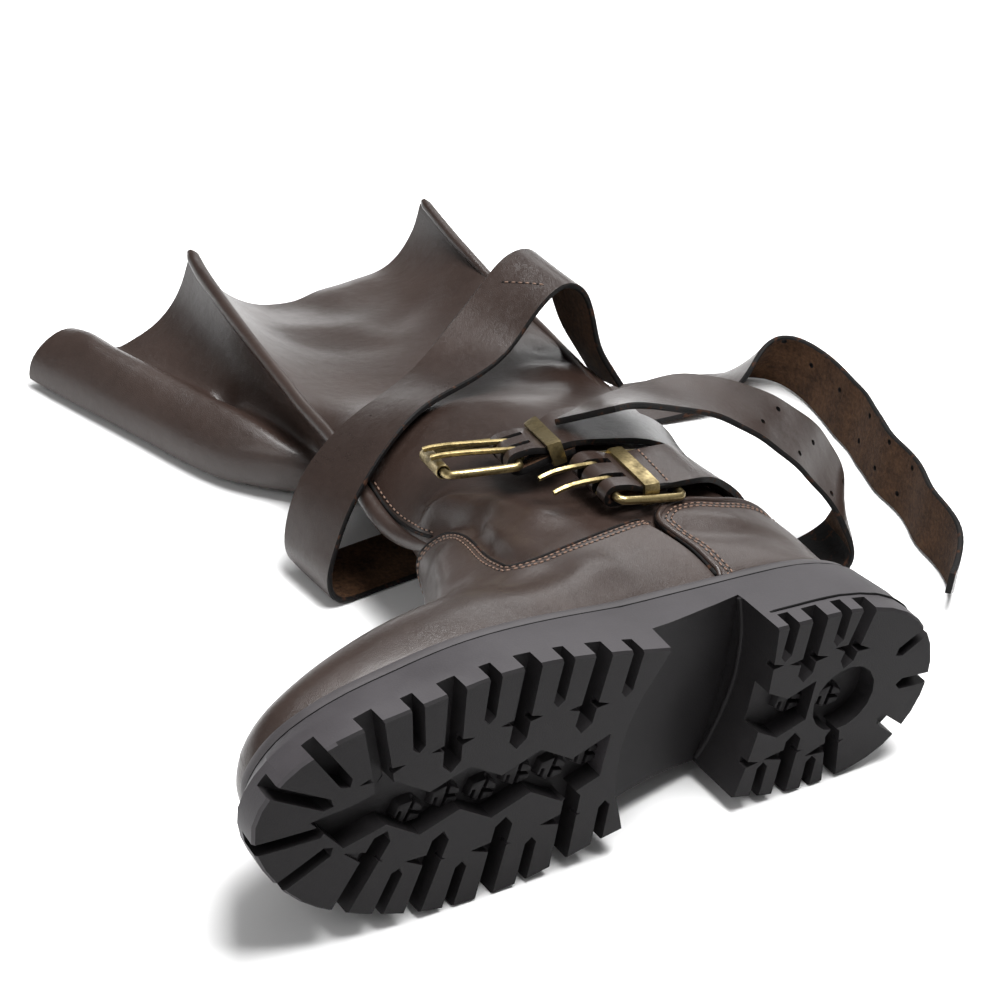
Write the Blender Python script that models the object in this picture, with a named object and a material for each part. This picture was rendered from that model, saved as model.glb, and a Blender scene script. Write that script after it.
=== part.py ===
"""Biker boot for the left foot, lying on its inner side.

Every form is worked out in the boot's own axes, in millimetres: x from the
heel back to the toe, y to the outer (left) side, z up from the tread. One
empty then lays the boot down, so that the edge of the sole and the slack
shaft rest on the floor.
"""
import math
from functools import lru_cache

import bmesh
import bpy
import numpy as np
from mathutils import Matrix, Vector

MM = 0.001
GAP = 0.3
FEATHER_GAP = 0.8

# Sole
LUG_DEPTH = 7.5
TOE_SPRING = 8.0
TOE_SPRING_FROM = 200.0
HEEL_BREAST_X = 77.0
HEEL_BREAST_HOLLOW = 4.0
FOREFOOT_REAR_X = 122.0
FOREFOOT_REAR_HOLLOW = 12.0
WAIST_Z_FRONT = 12.5
WAIST_Z_REAR = 22.5
WAIST_BOW_HALF = 37.0
WAIST_REACH = 60.0
CUT_OVER = 6.0
RIGHT_LAG = 3.0
WELT_THICK = 4.5
WELT_SET_IN = 0.8
WELT_REACH = 9.0
INSOLE_THICK = 3.5
INSOLE_SET_IN = 2.5

# Upper
WALL = 1.8
OVERLAY_THICK = 0.9

# Where the origin lies under the boot: along the sole and up the shaft
ORIGIN_ALONG = 87.0
ORIGIN_UP = 159.4

# Where the sole's inner edge meets the floor: (x, half width)
HEEL_REST = (42.0, 36.65)
BALL_REST = (179.0, 50.12)

# Tread outline: x, half width to the left, half width to the right
OUTLINE = [
    (0.0, 0.0, 0.0),
    (3.0, 14.0, 14.0),
    (12.0, 26.0, 26.0),
    (26.0, 33.5, 33.5),
    (44.0, 36.8, 36.8),
    (62.0, 36.6, 36.2),
    (80.0, 36.0, 33.2),
    (100.0, 36.2, 31.8),
    (122.0, 37.8, 34.8),
    (142.0, 40.8, 41.2),
    (162.0, 43.0, 47.5),
    (182.0, 43.6, 50.4),
    (200.0, 41.8, 50.2),
    (217.0, 37.8, 47.4),
    (235.0, 32.8, 42.8),
    (250.0, 26.6, 36.0),
    (261.0, 19.2, 27.0),
    (269.0, 8.5, 16.5),
    (272.5, -4.0, 4.0),
]

# Height of the sole's top edge and how far it leans in there: x, z, inset
SOLE_TOP = [
    (0.0, 31.0, 2.0),
    (40.0, 31.5, 2.0),
    (77.0, 32.0, 2.0),
    (100.0, 31.0, 2.0),
    (125.0, 28.0, 2.0),
    (150.0, 24.8, 2.0),
    (180.0, 22.3, 2.0),
    (215.0, 22.0, 2.4),
    (240.0, 23.5, 4.0),
    (258.0, 25.5, 6.5),
    (272.5, 27.0, 8.5),
]

# Sections of foot and ankle, toe first. The front point lies on the instep
# line, the base point on the feather line or, from the heel up, on the back.
# front x, z, y; base x, z above the feather line; half widths at the base and
# at the widest, left and right; share of the height at the widest; crown power
ARCHES = [
    (257.0, 32.4, -4.2, 256.5, 0.0, -4.2, 4.2, -4.2, 4.2, 0.30, 2.2),
    (257.6, 36.6, -4.2, 254.0, 0.0, 5.0, 13.0, 6.0, 14.0, 0.30, 2.2),
    (254.6, 40.4, -4.2, 247.5, 0.0, 13.5, 21.5, 14.5, 22.5, 0.30, 2.2),
    (246.0, 44.6, -4.2, 236.5, 0.0, 21.0, 30.0, 22.0, 31.0, 0.30, 2.2),
    (230.0, 50.2, -4.0, 221.0, 0.0, 28.6, 38.0, 29.8, 39.4, 0.30, 2.2),
    (210.0, 56.2, -3.5, 202.0, 0.0, 33.6, 42.2, 35.2, 43.4, 0.30, 2.2),
    (190.0, 61.6, -3.0, 182.0, 0.0, 36.0, 42.8, 37.4, 44.0, 0.30, 2.2),
    (171.0, 66.6, -2.5, 162.0, 0.0, 35.6, 40.2, 37.0, 41.0, 0.30, 2.2),
    (157.0, 74.5, -2.0, 142.0, 0.0, 33.6, 33.8, 35.4, 36.0, 0.32, 2.1),
    (149.0, 87.0, -1.5, 120.0, 0.0, 30.4, 27.6, 34.0, 33.0, 0.34, 2.0),
    (142.5, 97.0, -1.0, 98.0, 0.0, 29.0, 24.8, 33.2, 31.5, 0.38, 2.0),
    (137.5, 106.0, -1.0, 76.0, 0.0, 29.0, 26.5, 33.0, 31.5, 0.42, 2.0),
    (133.5, 114.0, -2.0, 54.0, 0.0, 29.4, 29.4, 33.0, 32.5, 0.44, 2.0),
    (130.0, 122.0, -3.0, 34.0, 0.0, 27.6, 27.6, 33.0, 33.0, 0.45, 1.95),
    (127.5, 129.0, -4.0, 20.0, 0.0, 21.5, 21.5, 33.0, 33.5, 0.46, 1.85),
    (126.0, 135.0, -5.0, 12.5, 0.0, 12.0, 12.0, 33.0, 34.0, 0.47, 1.75),
    (125.0, 141.0, -5.5, 9.8, 1.5, 0.0, 0.0, 33.0, 34.0, 0.48, 1.65),
    (123.5, 149.0, -6.0, 9.5, 21.0, 0.0, 0.0, 33.0, 34.0, 0.47, 1.58),
    (122.5, 159.0, -6.5, 14.5, 42.0, 0.0, 0.0, 32.0, 34.0, 0.47, 1.54),
    (121.5, 170.0, -6.5, 18.5, 64.0, 0.0, 0.0, 31.0, 33.0, 0.47, 1.5),
    (121.0, 181.0, -6.5, 16.0, 86.0, 0.0, 0.0, 30.0, 32.0, 0.48, 1.5),
    (120.0, 192.0, -6.0, 10.0, 107.0, 0.0, 0.0, 29.0, 31.0, 0.50, 2.0),
    (119.0, 203.0, -6.0, 3.0, 127.0, 0.0, 0.0, 26.0, 30.0, 0.50, 2.0),
    (118.0, 214.0, -5.0, -1.0, 147.0, 0.0, 0.0, 22.0, 30.0, 0.50, 2.0),
    (116.0, 226.0, -5.0, -3.0, 168.0, 0.0, 0.0, 18.0, 30.0, 0.50, 2.0),
    (115.5, 240.0, -4.0, -4.0, 191.0, 0.0, 0.0, 15.0, 30.0, 0.50, 2.0),
    (113.0, 256.0, -3.0, -4.0, 214.0, 0.0, 0.0, 15.0, 30.0, 0.50, 2.0),
    (110.5, 272.0, -2.0, -3.0, 234.0, 0.0, 0.0, 15.0, 30.0, 0.50, 2.0),
    (108.0, 287.0, -1.0, -2.0, 250.0, 0.0, 0.0, 15.0, 30.0, 0.50, 2.0),
    (106.0, 303.0, -1.0, -1.0, 266.0, 0.0, 0.0, 15.0, 30.0, 0.50, 2.0),
    (104.0, 318.0, 0.0, 0.0, 281.0, 0.0, 0.0, 15.0, 30.0, 0.50, 2.0),
]
HEEL_ROW = 16
SLACK_FROM = 19.5
SLACK_TO = 25.0
COLLAR_ROW = len(ARCHES) - 1

# Folds of the slack shaft, along the floor and above it, at the collar and
# low down over the ankle: share of the panel from back seam to front seam,
# then collar x, collar height, low x, low height
OUTER_FOLDS = [
    (0.00, 0.0, 40.0, -3.0, 30.0),
    (0.12, 2.0, 27.0, 4.0, 36.0),
    (0.22, 8.0, 16.0, 13.0, 38.0),
    (0.34, 20.0, 9.0, 27.0, 37.0),
    (0.50, 42.0, 8.4, 50.0, 34.0),
    (0.65, 62.0, 10.5, 72.0, 32.0),
    (0.78, 80.0, 16.0, 90.0, 33.0),
    (0.90, 93.0, 28.0, 104.0, 36.0),
    (1.00, 103.5, 42.0, 113.0, 39.5),
]
INNER_FOLDS = [
    (0.00, 0.0, 40.0, -3.0, 30.0),
    (0.03, -7.0, 24.0, -6.5, 20.0),
    (0.06, -6.0, 7.0, -4.0, 7.0),
    (0.10, 8.0, -0.5, 8.0, 3.3),
    (0.18, 50.0, -4.0, 45.0, 3.3),
    (0.28, 110.0, -4.0, 94.0, 3.3),
    (0.36, 150.0, -0.5, 124.0, 1.0),
    (0.42, 164.0, 0.6, 138.0, 1.0),
    (0.48, 169.5, 9.0, 143.0, 9.0),
    (0.54, 162.0, 20.0, 140.0, 18.0),
    (0.60, 151.0, 22.0, 133.5, 21.0),
    (0.66, 139.0, 14.0, 126.0, 22.0),
    (0.72, 127.0, 9.0, 119.0, 22.5),
    (0.79, 114.5, 14.5, 115.0, 25.0),
    (0.86, 107.5, 24.0, 113.0, 28.0),
    (0.93, 105.0, 33.0, 112.5, 33.0),
    (1.00, 103.5, 42.0, 113.0, 39.5),
]

# Tread grooves, left and right: x at the outline, length, width, turn towards
# the heel on the way in, in degrees
SIDE_GROOVES = [
    (238.0, 33.0, 7.0, 20.0),
    (223.0, 19.0, 4.6, 14.0),
    (209.0, 33.0, 7.0, 9.0),
    (194.5, 19.0, 4.6, 5.0),
    (180.0, 33.0, 7.0, 2.0),
    (165.5, 19.0, 4.6, 0.0),
    (151.0, 31.0, 7.0, -3.0),
    (136.5, 18.0, 4.6, -3.0),
    (70.0, 15.0, 4.4, 0.0),
    (59.0, 26.0, 6.4, 0.0),
    (47.5, 14.0, 4.4, -2.0),
    (37.0, 24.0, 6.0, -12.0),
]
# Radial grooves: centre x and y, inner and outer radius, width, angles in degrees
RADIAL_GROOVES = [
    (230.0, -4.0, 17.0, 60.0, 4.8, (47.0, 19.0, -13.0, -41.0)),
    (38.0, 0.0, 23.0, 50.0, 4.4, (146.0, 180.0, 214.0)),
]
# Zigzag channels down the middle: first x, last x, step, y, half width, sway
CHANNELS = [
    (239.0, 126.0, -14.2, -4.0, 8.5, 3.5),
    (86.0, 50.0, -11.0, -0.5, 8.0, 2.5),
]
HEEL_RECESS = (38.0, -0.5, 13.0)

# Vamp: half of its rear edge from the middle of the tongue to the saddle at
# its side (row, place across), then along the top of its wing to the rear
TONGUE_EDGE = [
    (12.70, 0.00),
    (12.60, 0.06),
    (12.30, 0.11),
    (11.60, 0.17),
    (10.50, 0.25),
    (9.50, 0.34),
    (8.90, 0.44),
    (8.60, 0.55),
]
WING_EDGE = [
    (8.60, 0.55),
    (9.10, 0.60),
    (9.90, 0.615),
    (11.00, 0.62),
    (12.30, 0.62),
]
VAMP_REAR_ROW = 11.12
# Counter: row and place across of its base, then of its top edge, from its
# front edge to the back seam
COUNTER_EDGE = [
    (11.20, 0.965, 12.42, 0.645),
    (12.20, 0.965, 13.30, 0.605),
    (13.20, 0.965, 14.40, 0.60),
    (14.30, 0.965, 15.50, 0.61),
    (15.20, 0.968, 16.20, 0.645),
    (15.75, 0.97, 16.90, 0.74),
    (16.00, 0.985, 17.55, 0.88),
    (16.12, 1.00, 17.90, 1.00),
]
OVERLAY_LIFT = 1.3
COUNTER_LIFT = 1.9
OVERLAY_CLEAR = 2.6
VAMP_FRONT_ROW = 0.6
VAMP_SECOND_ROW = 1.25
VAMP_ROWS = 9
VAMP_MIDDLE_LINES = 13
VAMP_MIDDLE_POWER = 1.4
VAMP_SIDE_LINES = 5
SEAM_LIFT = 0.9
SEAM_THICK = 1.5
SEAM_HALF = 0.022
FRONT_SEAM_ROW = 17
BACK_SEAM_ROW = 25

# Straps
STRAP_THICK = 2.4
STRAP_WIDTH = 26.0
# Routes of the free straps: along the floor, above it and up the shaft, then
# the direction across the strap, from its near edge to its far edge
WRAP_ROUTE = [
    (-5.0, 30.5, 198.0, 0.0, 0.0, 1.0),
    (-1.0, 38.0, 202.0, 0.0, 0.0, 1.0),
    (5.0, 49.0, 206.0, 0.0, 0.0, 1.0),
    (9.5, 63.0, 208.0, 0.05, 0.0, 1.0),
    (14.0, 73.5, 210.0, 0.1, 0.0, 1.0),
    (22.0, 79.0, 211.0, 0.1, 0.05, 1.0),
    (31.0, 77.0, 210.0, 0.1, 0.1, 1.0),
    (40.0, 70.0, 208.0, 0.1, 0.1, 1.0),
    (53.0, 60.5, 204.0, 0.1, 0.1, 1.0),
    (75.5, 56.0, 194.5, 0.15, -0.3, 0.95),
    (100.0, 56.5, 185.5, 0.15, -0.42, 0.9),
    (118.0, 49.2, 180.5, 0.15, -0.25, 0.96),
    (133.5, 37.0, 175.0, 0.15, -0.05, 1.0),
    (140.0, 22.5, 172.0, 0.1, 0.1, 1.0),
    (142.5, 12.0, 169.0, 0.05, 0.0, 1.0),
    (139.0, 3.8, 168.0, 0.0, 0.0, 1.0),
    (131.0, 1.5, 168.5, 0.0, 0.0, 1.0),
    (118.0, 1.5, 169.5, 0.0, 0.0, 1.0),
    (95.0, 1.5, 171.0, 0.0, 0.0, 1.0),
    (70.0, 1.5, 172.0, 0.0, 0.0, 1.0),
]
REAR_ROUTE = [
    (12.0, 1.5, 216.0, 0.0, 0.0, 1.0),
    (-12.0, 1.5, 216.0, 0.0, 0.0, 1.0),
    (-32.0, 1.7, 214.0, 0.0, 0.0, 1.0),
    (-52.0, 2.6, 210.0, 0.0, -0.1, 1.0),
    (-68.0, 6.0, 207.0, 0.0, -0.4, 0.9),
    (-81.0, 10.5, 206.5, -0.2, -0.8, 0.6),
    (-91.0, 13.5, 203.0, -0.2, -1.0, 0.2),
    (-96.0, 13.6, 193.0, -0.1, -1.0, 0.0),
    (-96.0, 13.6, 176.0, 0.05, -1.0, 0.0),
    (-92.0, 13.6, 156.0, 0.1, -1.0, 0.0),
    (-88.0, 13.6, 136.0, 0.05, -1.0, 0.0),
    (-83.0, 13.6, 114.0, 0.05, -1.0, 0.0),
    (-76.0, 13.6, 94.0, 0.05, -1.0, 0.0),
    (-66.0, 13.6, 75.0, 0.0, -1.0, 0.0),
    (-55.0, 13.6, 63.0, 0.0, -1.0, 0.0),
]
TAIL_ROUTE = [
    (73.0, 88.6, 115.6, -0.1, -0.6, 0.79),
    (60.0, 85.0, 120.5, 0.0, -0.55, 0.83),
    (46.0, 81.0, 124.5, 0.08, -0.38, 0.92),
    (30.0, 75.8, 128.1, 0.05, -0.2, 0.97),
    (15.5, 73.2, 128.6, -0.05, 0.0, 1.0),
    (4.5, 69.5, 126.9, -0.1, 0.12, 0.98),
    (-9.0, 63.0, 122.6, -0.3, 0.25, 0.9),
    (-23.8, 53.0, 116.2, -0.43, 0.31, 0.84),
    (-34.8, 43.0, 111.8, -0.6, 0.3, 0.74),
    (-40.8, 30.5, 107.8, -0.7, 0.22, 0.68),
    (-41.5, 18.0, 105.2, -0.65, 0.12, 0.75),
    (-37.8, 8.0, 104.0, -0.4, 0.05, 0.9),
    (-29.0, 2.7, 103.4, -0.15, 0.0, 1.0),
    (-15.0, 1.5, 102.8, 0.0, 0.0, 1.0),
    (0.0, 1.5, 102.0, 0.0, 0.0, 1.0),
]
# Ankle straps on the leather: angle round the leg in degrees, from the front
# over the outer side to the back, and height of the middle
UPPER_STRAP = [
    (30.0, 125.0),
    (41.0, 126.5),
    (50.0, 128.0),
    (61.0, 128.0),
    (72.0, 127.5),
    (95.0, 127.5),
    (125.0, 128.0),
    (155.0, 129.0),
    (185.0, 130.0),
    (215.0, 130.0),
]
LOWER_STRAP = [
    (48.0, 92.0),
    (60.0, 95.0),
    (72.0, 98.0),
    (94.0, 99.5),
    (114.0, 99.0),
    (126.0, 99.0),
    (155.0, 99.0),
    (185.0, 99.0),
    (215.0, 98.0),
]
LEG_ALONG = 62.0
LEG_HEIGHT = 33.0
LEG_FIRST_ROW = 9.0
LEG_LAST_ROW = 23.0
LEG_ROW_STEP = 0.25
LEG_ACROSS_STEPS = 81
ANKLE_STRAP_WIDTH = 24.0
STRAP_LIFT = 2.3
STRAP_STEPS = 2
STRAP_TIP = 15.0
STRAP_TIP_SHARE = 0.35
FOLD_FLAP = 22.0
# Strap behind its bar: length that stays flat, length over which it settles on
# the leather, and the run and lift of the point that the flat length aims at
UPPER_FLAT = (6.0, 34.0, 14.0, 9.4)
LOWER_FLAT = (32.0, 22.0, 30.0, 8.0)
# Buckle bars: place, direction of the bar and direction of the frame or of the
# free prongs, each along the floor, above it and up the shaft
UPPER_BAR = (96.6, 74.0, 124.0)
UPPER_BAR_WAY = (-9.8, -9.8, 27.3)
UPPER_FRAME_WAY = (23.0, -1.8, 7.7)
LOWER_BAR = (82.6, 79.8, 92.4)
LOWER_BAR_WAY = (-2.5, -2.0, 28.0)
LOWER_PRONG_WAY = (21.0, 1.2, 1.6)

# Buckles
WIRE = 3.4
BUCKLE_LENGTH = 30.0
BUCKLE_OPEN = 27.6
BUCKLE_CORNER = 3.2
FRAME_DROP = 3.5
BAR_LIFT = 6.8
ROLLER_RADIUS = 2.7
ROLLER_LENGTH = 22.0
PRONG_WIRE = 2.2
PRONG_SPREAD = 10.0
PRONG_SLOT = 4.0
SLOT_REACH = 7.0
KEEPER_BACK = 14.0
KEEPER_WIDE = 6.0
KEEPER_THICK = 1.2
# Prong shapes: run from the bar, lift over the buckle's plane
LAID_PRONG = [(0.5, 3.1), (8.0, 3.5), (18.0, 4.2), (26.6, 4.2), (29.5, 3.6)]
FREE_PRONG = [(0.5, 3.1), (6.0, 3.2), (13.0, 2.8), (17.5, 1.9), (20.5, 0.6)]

# Mesh density
SOLE_STEPS = 2
SECTION_SAMPLES = 61
OUTER_COLUMNS = 12
INNER_COLUMNS = 18
FOOT_ROW_STEP = 0.75
FINE_TO_ROW = 12

# Steps that a normal is measured over, and the least cosine at a crease
NORMAL_ROWS = 0.15
NORMAL_ACROSS = 0.02
STEEPEST = 0.5

LIE_ANGLE = math.atan2(BALL_REST[1] - HEEL_REST[1], BALL_REST[0] - HEEL_REST[0])
LIE_SIN = math.sin(LIE_ANGLE)
LIE_COS = math.cos(LIE_ANGLE)
FLOOR_OFFSET = LIE_COS * HEEL_REST[1] - LIE_SIN * HEEL_REST[0]


def spline(rows, at):
    """Value at a fractional row number on a smooth curve through the rows."""
    rows = np.asarray(rows, float)
    first = int(np.clip(math.floor(at), 0, len(rows) - 2))
    t = at - first
    before = rows[max(first - 1, 0)]
    start = rows[first]
    end = rows[first + 1]
    after = rows[min(first + 2, len(rows) - 1)]
    bend = 2 * before - 5 * start + 4 * end - after
    twist = 3 * (start - end) + after - before
    return start + 0.5 * t * (end - before + t * (bend + t * twist))


def closed_spline(ring, per_span):
    """Points on a smooth closed curve through the points of a ring."""
    count = len(ring)
    points = []
    for k in range(count):
        span = [ring[(k + step) % count] for step in (-1, 0, 1, 2)]
        points += [spline(span, 1 + part / per_span) for part in range(per_span)]
    return np.array(points)


def smooth(table, key):
    """Columns of a table at a key, on a smooth curve through its rows."""
    rows = np.asarray(table, float)
    keys, values = rows[:, 0], rows[:, 1:]
    slopes = np.gradient(values, keys, axis=0)
    k = int(np.clip(np.searchsorted(keys, key, side="right") - 1, 0, len(keys) - 2))
    width = keys[k + 1] - keys[k]
    t = (np.clip(key, keys[0], keys[-1]) - keys[k]) / width
    rise = values[k + 1] - values[k]
    lean = width * slopes[k]
    settle = width * slopes[k + 1]
    return values[k] + t * (lean + t * (3 * rise - 2 * lean - settle + t * (lean + settle - 2 * rise)))


def ease(value):
    """Smooth step from 0 to 1."""
    t = min(max(value, 0.0), 1.0)
    return t * t * (3 - 2 * t)


def from_floor(along, height, z):
    """Boot axes of a point given along the floor, above it and up the shaft."""
    drop = height - FLOOR_OFFSET
    return np.array([LIE_COS * along + LIE_SIN * drop, LIE_COS * drop - LIE_SIN * along, z])


def sole_top(x):
    """Height of the sole's top edge."""
    return smooth(SOLE_TOP, x)[0]


def tread_height(x):
    """Height of the tread, which springs up at the toe."""
    end = OUTLINE[-1][0]
    return TOE_SPRING * max(0.0, (x - TOE_SPRING_FROM) / (end - TOE_SPRING_FROM)) ** 2


def feather_height(x):
    """Height where the leather meets the welt."""
    return sole_top(x) + GAP + WELT_THICK + FEATHER_GAP


@lru_cache(maxsize=None)
def outline_ring():
    """Closed tread outline: heel back, left side, toe, right side."""
    left = [(x, half) for x, half, _ in OUTLINE]
    right = [(x, -half) for x, _, half in OUTLINE[-2:0:-1]]
    return closed_spline(left + right, SOLE_STEPS)


def set_in(ring, depth):
    """Ring moved inwards by a depth, or by one depth for each point."""
    along = np.roll(ring, -1, axis=0) - np.roll(ring, 1, axis=0)
    inward = np.stack([along[:, 1], -along[:, 0]], axis=1)
    inward /= np.linalg.norm(inward, axis=1)[:, None]
    return ring + inward * np.reshape(depth, (-1, 1))


def resample(points, count):
    """Points at even steps of length along a polyline."""
    steps = np.linalg.norm(np.diff(points, axis=0), axis=1)
    length = np.concatenate([[0.0], np.cumsum(steps)])
    even = np.linspace(0.0, length[-1], count)
    return np.stack([np.interp(even, length, points[:, axis]) for axis in range(3)], axis=1)


def arch_half(row, side):
    """Half of a foot section, from its base to the instep line."""
    front_x, front_z, front_y, base_x, base_up, *halves, wide_at, power = spline(ARCHES, row)
    base_left, base_right, wide_left, wide_right = halves
    base_half = max(0.0, (base_left + base_right) / 2)
    wide_half = max(0.0, (wide_left + wide_right) / 2)
    turn = np.linspace(0.0, math.pi / 2, 24)
    round_sin = np.sin(turn) ** (2 / power)
    round_cos = np.abs(np.cos(turn)) ** (2 / power)
    share = np.concatenate([wide_at * (1 - np.cos(turn)), wide_at + (1 - wide_at) * round_sin[1:]])
    flare = np.sqrt(base_half ** 2 + (wide_half ** 2 - base_half ** 2) * np.sin(turn) ** 2)
    half = np.concatenate([flare, wide_half * round_cos[1:]])
    middles = [(base_left - base_right) / 2, (wide_left - wide_right) / 2, front_y]
    middle = np.interp(share, [0.0, wide_at, 1.0], middles)
    base_z = feather_height(base_x) + base_up
    x = base_x + share * (front_x - base_x)
    z = base_z + share * (front_z - base_z)
    return resample(np.stack([x, middle + side * half, z], axis=1), SECTION_SAMPLES)


def slack_half(row, side):
    """Half of a section of the slack shaft, from back seam to front seam."""
    front_x, front_z, _, base_x, base_up = spline(ARCHES, row)[:5]
    back_z = feather_height(base_x) + base_up
    rise = min(max((row - SLACK_TO) / (COLLAR_ROW - SLACK_TO), 0.0), 1.0)
    folds = np.array(OUTER_FOLDS if side > 0 else INNER_FOLDS)
    at_row = folds[:, [0, 3, 4]] + rise * (folds[:, [0, 1, 2]] - folds[:, [0, 3, 4]])
    points = []
    for share in np.linspace(0.0, 1.0, SECTION_SAMPLES):
        along, height = smooth(at_row, share)
        across = (along - at_row[0, 1]) / (at_row[-1, 1] - at_row[0, 1])
        z = back_z + (front_z - back_z) * min(max(across, 0.0), 1.1)
        points.append(from_floor(along, max(height, 0.0), z))
    return np.array(points)


@lru_cache(maxsize=None)
def half_section(row, side):
    """Half of the upper's section at a row, on the outer (1) or inner (-1) side."""
    slack = ease((row - SLACK_FROM) / (SLACK_TO - SLACK_FROM))
    if slack == 0.0:
        return arch_half(row, side)
    if slack == 1.0:
        return slack_half(row, side)
    return (1 - slack) * arch_half(row, side) + slack * slack_half(row, side)


def upper_point(row, across):
    """Point of the upper: across is -1 at the outer feather line or back seam,
    0 at the instep or front seam, and 1 at the inner feather line or back seam."""
    side = 1 if across <= 0 else -1
    points = half_section(round(float(row), 5), side)
    at = (1 - min(abs(across), 1.0)) * (SECTION_SAMPLES - 1)
    k = min(int(at), SECTION_SAMPLES - 2)
    return points[k] + (at - k) * (points[k + 1] - points[k])


def wrap(row, across):
    """Place across kept in range, and carried over the back seam from the heel up."""
    if row < HEEL_ROW:
        return min(max(across, -1.0), 1.0)
    return (across + 1.0) % 2.0 - 1.0 if abs(across) > 1.0 else across


def upper_normal(row, across):
    """Outward step off the upper: one mm clear of the leather on both sides of the place."""
    low, high = max(row - NORMAL_ROWS, 0.02), min(row + NORMAL_ROWS, COLLAR_ROW)
    level_row = max(row, 0.2)
    left = upper_point(level_row, wrap(level_row, across - NORMAL_ACROSS))
    middle = upper_point(level_row, across)
    right = upper_point(level_row, wrap(level_row, across + NORMAL_ACROSS))
    along = upper_point(high, across) - upper_point(low, across)
    sides = []
    for over in (middle - left, right - middle):
        if np.linalg.norm(over) > 0.0:
            normal = np.cross(along, over)
            sides.append(normal / np.linalg.norm(normal))
    normal = sum(sides) / np.linalg.norm(sum(sides))
    return normal / max(np.dot(normal, sides[0]), STEEPEST)


def upper_surface(row, across, lift):
    """Point at a distance outside the upper, measured along its normal."""
    return upper_point(row, across) + lift * upper_normal(row, across)


@lru_cache(maxsize=None)
def mesh_lines():
    """Rows and places across of the upper's mesh."""
    foot = np.arange(0.0, FINE_TO_ROW, FOOT_ROW_STEP)
    rows = list(foot) + list(range(FINE_TO_ROW, COLLAR_ROW + 1))
    outer = np.linspace(-1.0, 0.0, OUTER_COLUMNS + 1)
    inner = np.linspace(0.0, 1.0, INNER_COLUMNS + 1)
    return np.array(rows), np.concatenate([outer, inner[1:]])


def on_mesh(row, across, lift):
    """Point at a distance outside the upper's own facets."""
    rows, columns = mesh_lines()
    k = min(int(np.searchsorted(rows, row, side="right")) - 1, len(rows) - 2)
    j = min(int(np.searchsorted(columns, across, side="right")) - 1, len(columns) - 2)
    up = (row - rows[k]) / (rows[k + 1] - rows[k])
    over = (across - columns[j]) / (columns[j + 1] - columns[j])
    point = np.zeros(3)
    for line, share in ((k, 1 - up), (k + 1, up)):
        point += share * (1 - over) * upper_point(rows[line], columns[j])
        point += share * over * upper_point(rows[line], columns[j + 1])
    return point + lift * upper_normal(row, across)


def material(name, colour, roughness, metallic=0.0):
    """Principled material with one colour."""
    made = bpy.data.materials.new(name)
    made.use_nodes = True
    shader = made.node_tree.nodes["Principled BSDF"]
    shader.inputs["Base Color"].default_value = (*colour, 1.0)
    shader.inputs["Roughness"].default_value = roughness
    shader.inputs["Metallic"].default_value = metallic
    made.diffuse_color = (*colour, 1.0)
    return made


def add_mesh(name, points, faces, finish, parent):
    """Object from points in millimetres, joined to the lying boot."""
    mesh = bpy.data.meshes.new(name)
    mesh.from_pydata([tuple(MM * np.asarray(p)) for p in points], [], faces)
    mesh.validate()
    if finish:
        mesh.materials.append(finish)
    mesh.shade_smooth()
    mesh.set_sharp_from_angle(angle=math.radians(35))
    made = bpy.data.objects.new(name, mesh)
    bpy.context.scene.collection.objects.link(made)
    made.parent = parent
    return made


def turn_outwards(made):
    """Make all faces of closed bodies face outwards."""
    body = bmesh.new()
    body.from_mesh(made.data)
    bmesh.ops.recalc_face_normals(body, faces=body.faces)
    body.to_mesh(made.data)
    body.free()


def ring_faces(lower, upper, count):
    """Quads between two closed rings, given by their first point numbers."""
    faces = []
    for k in range(count):
        after = (k + 1) % count
        faces.append((lower + k, lower + after, upper + after, upper + k))
    return faces


def ladder_faces(first, count, flip):
    """Quads that close a ring from side to side, tip to tip."""
    faces = []
    for k in range(count // 2):
        corners = [k, k + 1, count - k - 1, (count - k) % count]
        corners = [first + c for c in dict.fromkeys(corners)]
        faces.append(tuple(reversed(corners)) if flip else tuple(corners))
    return faces


def add_plate(name, levels, finish, parent):
    """Closed plate through rings of equal count, from the lowest up."""
    count = len(levels[0])
    points = [p for level in levels for p in level]
    faces = ladder_faces(0, count, False)
    for k in range(len(levels) - 1):
        faces += [tuple(reversed(f)) for f in ring_faces(k * count, (k + 1) * count, count)]
    faces += ladder_faces((len(levels) - 1) * count, count, True)
    return add_mesh(name, points, faces, finish, parent)


def level(depth, height_of):
    """Ring of the sole's outline set in by a depth, at heights worked out from x."""
    return [(x, y, height_of(x)) for x, y in set_in(outline_ring(), depth)]


def top_inset(extra):
    """Depth from the tread outline to the sole's top edge and further in, point by point."""
    return np.array([smooth(SOLE_TOP, x)[1] + extra for x, _ in outline_ring()])


def add_outsole(finish, parent):
    """Unit sole: side wall, tread with toe spring, arched waist and heel block."""
    lean = top_inset(0.0)
    levels = [
        level(0.8, tread_height),
        level(0.0, lambda x: tread_height(x) + 1.0),
        level(0.15 * lean, lambda x: tread_height(x) + 0.6 * (sole_top(x) - tread_height(x))),
        level(lean, sole_top),
    ]
    outsole = add_plate("outsole", levels, finish, parent)
    tread = outsole.modifiers.new("tread", "BOOLEAN")
    tread.operation = "DIFFERENCE"
    tread.solver = "EXACT"
    tread.use_self = True
    tread.object = add_tread_cutter(parent)
    return outsole


def outline_half(x, side):
    """Half width of the tread at x, to the left (1) or to the right (-1)."""
    left, right = smooth(OUTLINE, x)
    return left if side > 0 else right


def prism(rings):
    """Closed body between two rings of equal count, closed from side to side."""
    count = len(rings[0])
    faces = ladder_faces(0, count, False)
    faces += [tuple(reversed(f)) for f in ring_faces(0, count, count)]
    faces += ladder_faces(count, count, True)
    return list(rings[0]) + list(rings[1]), faces


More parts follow.
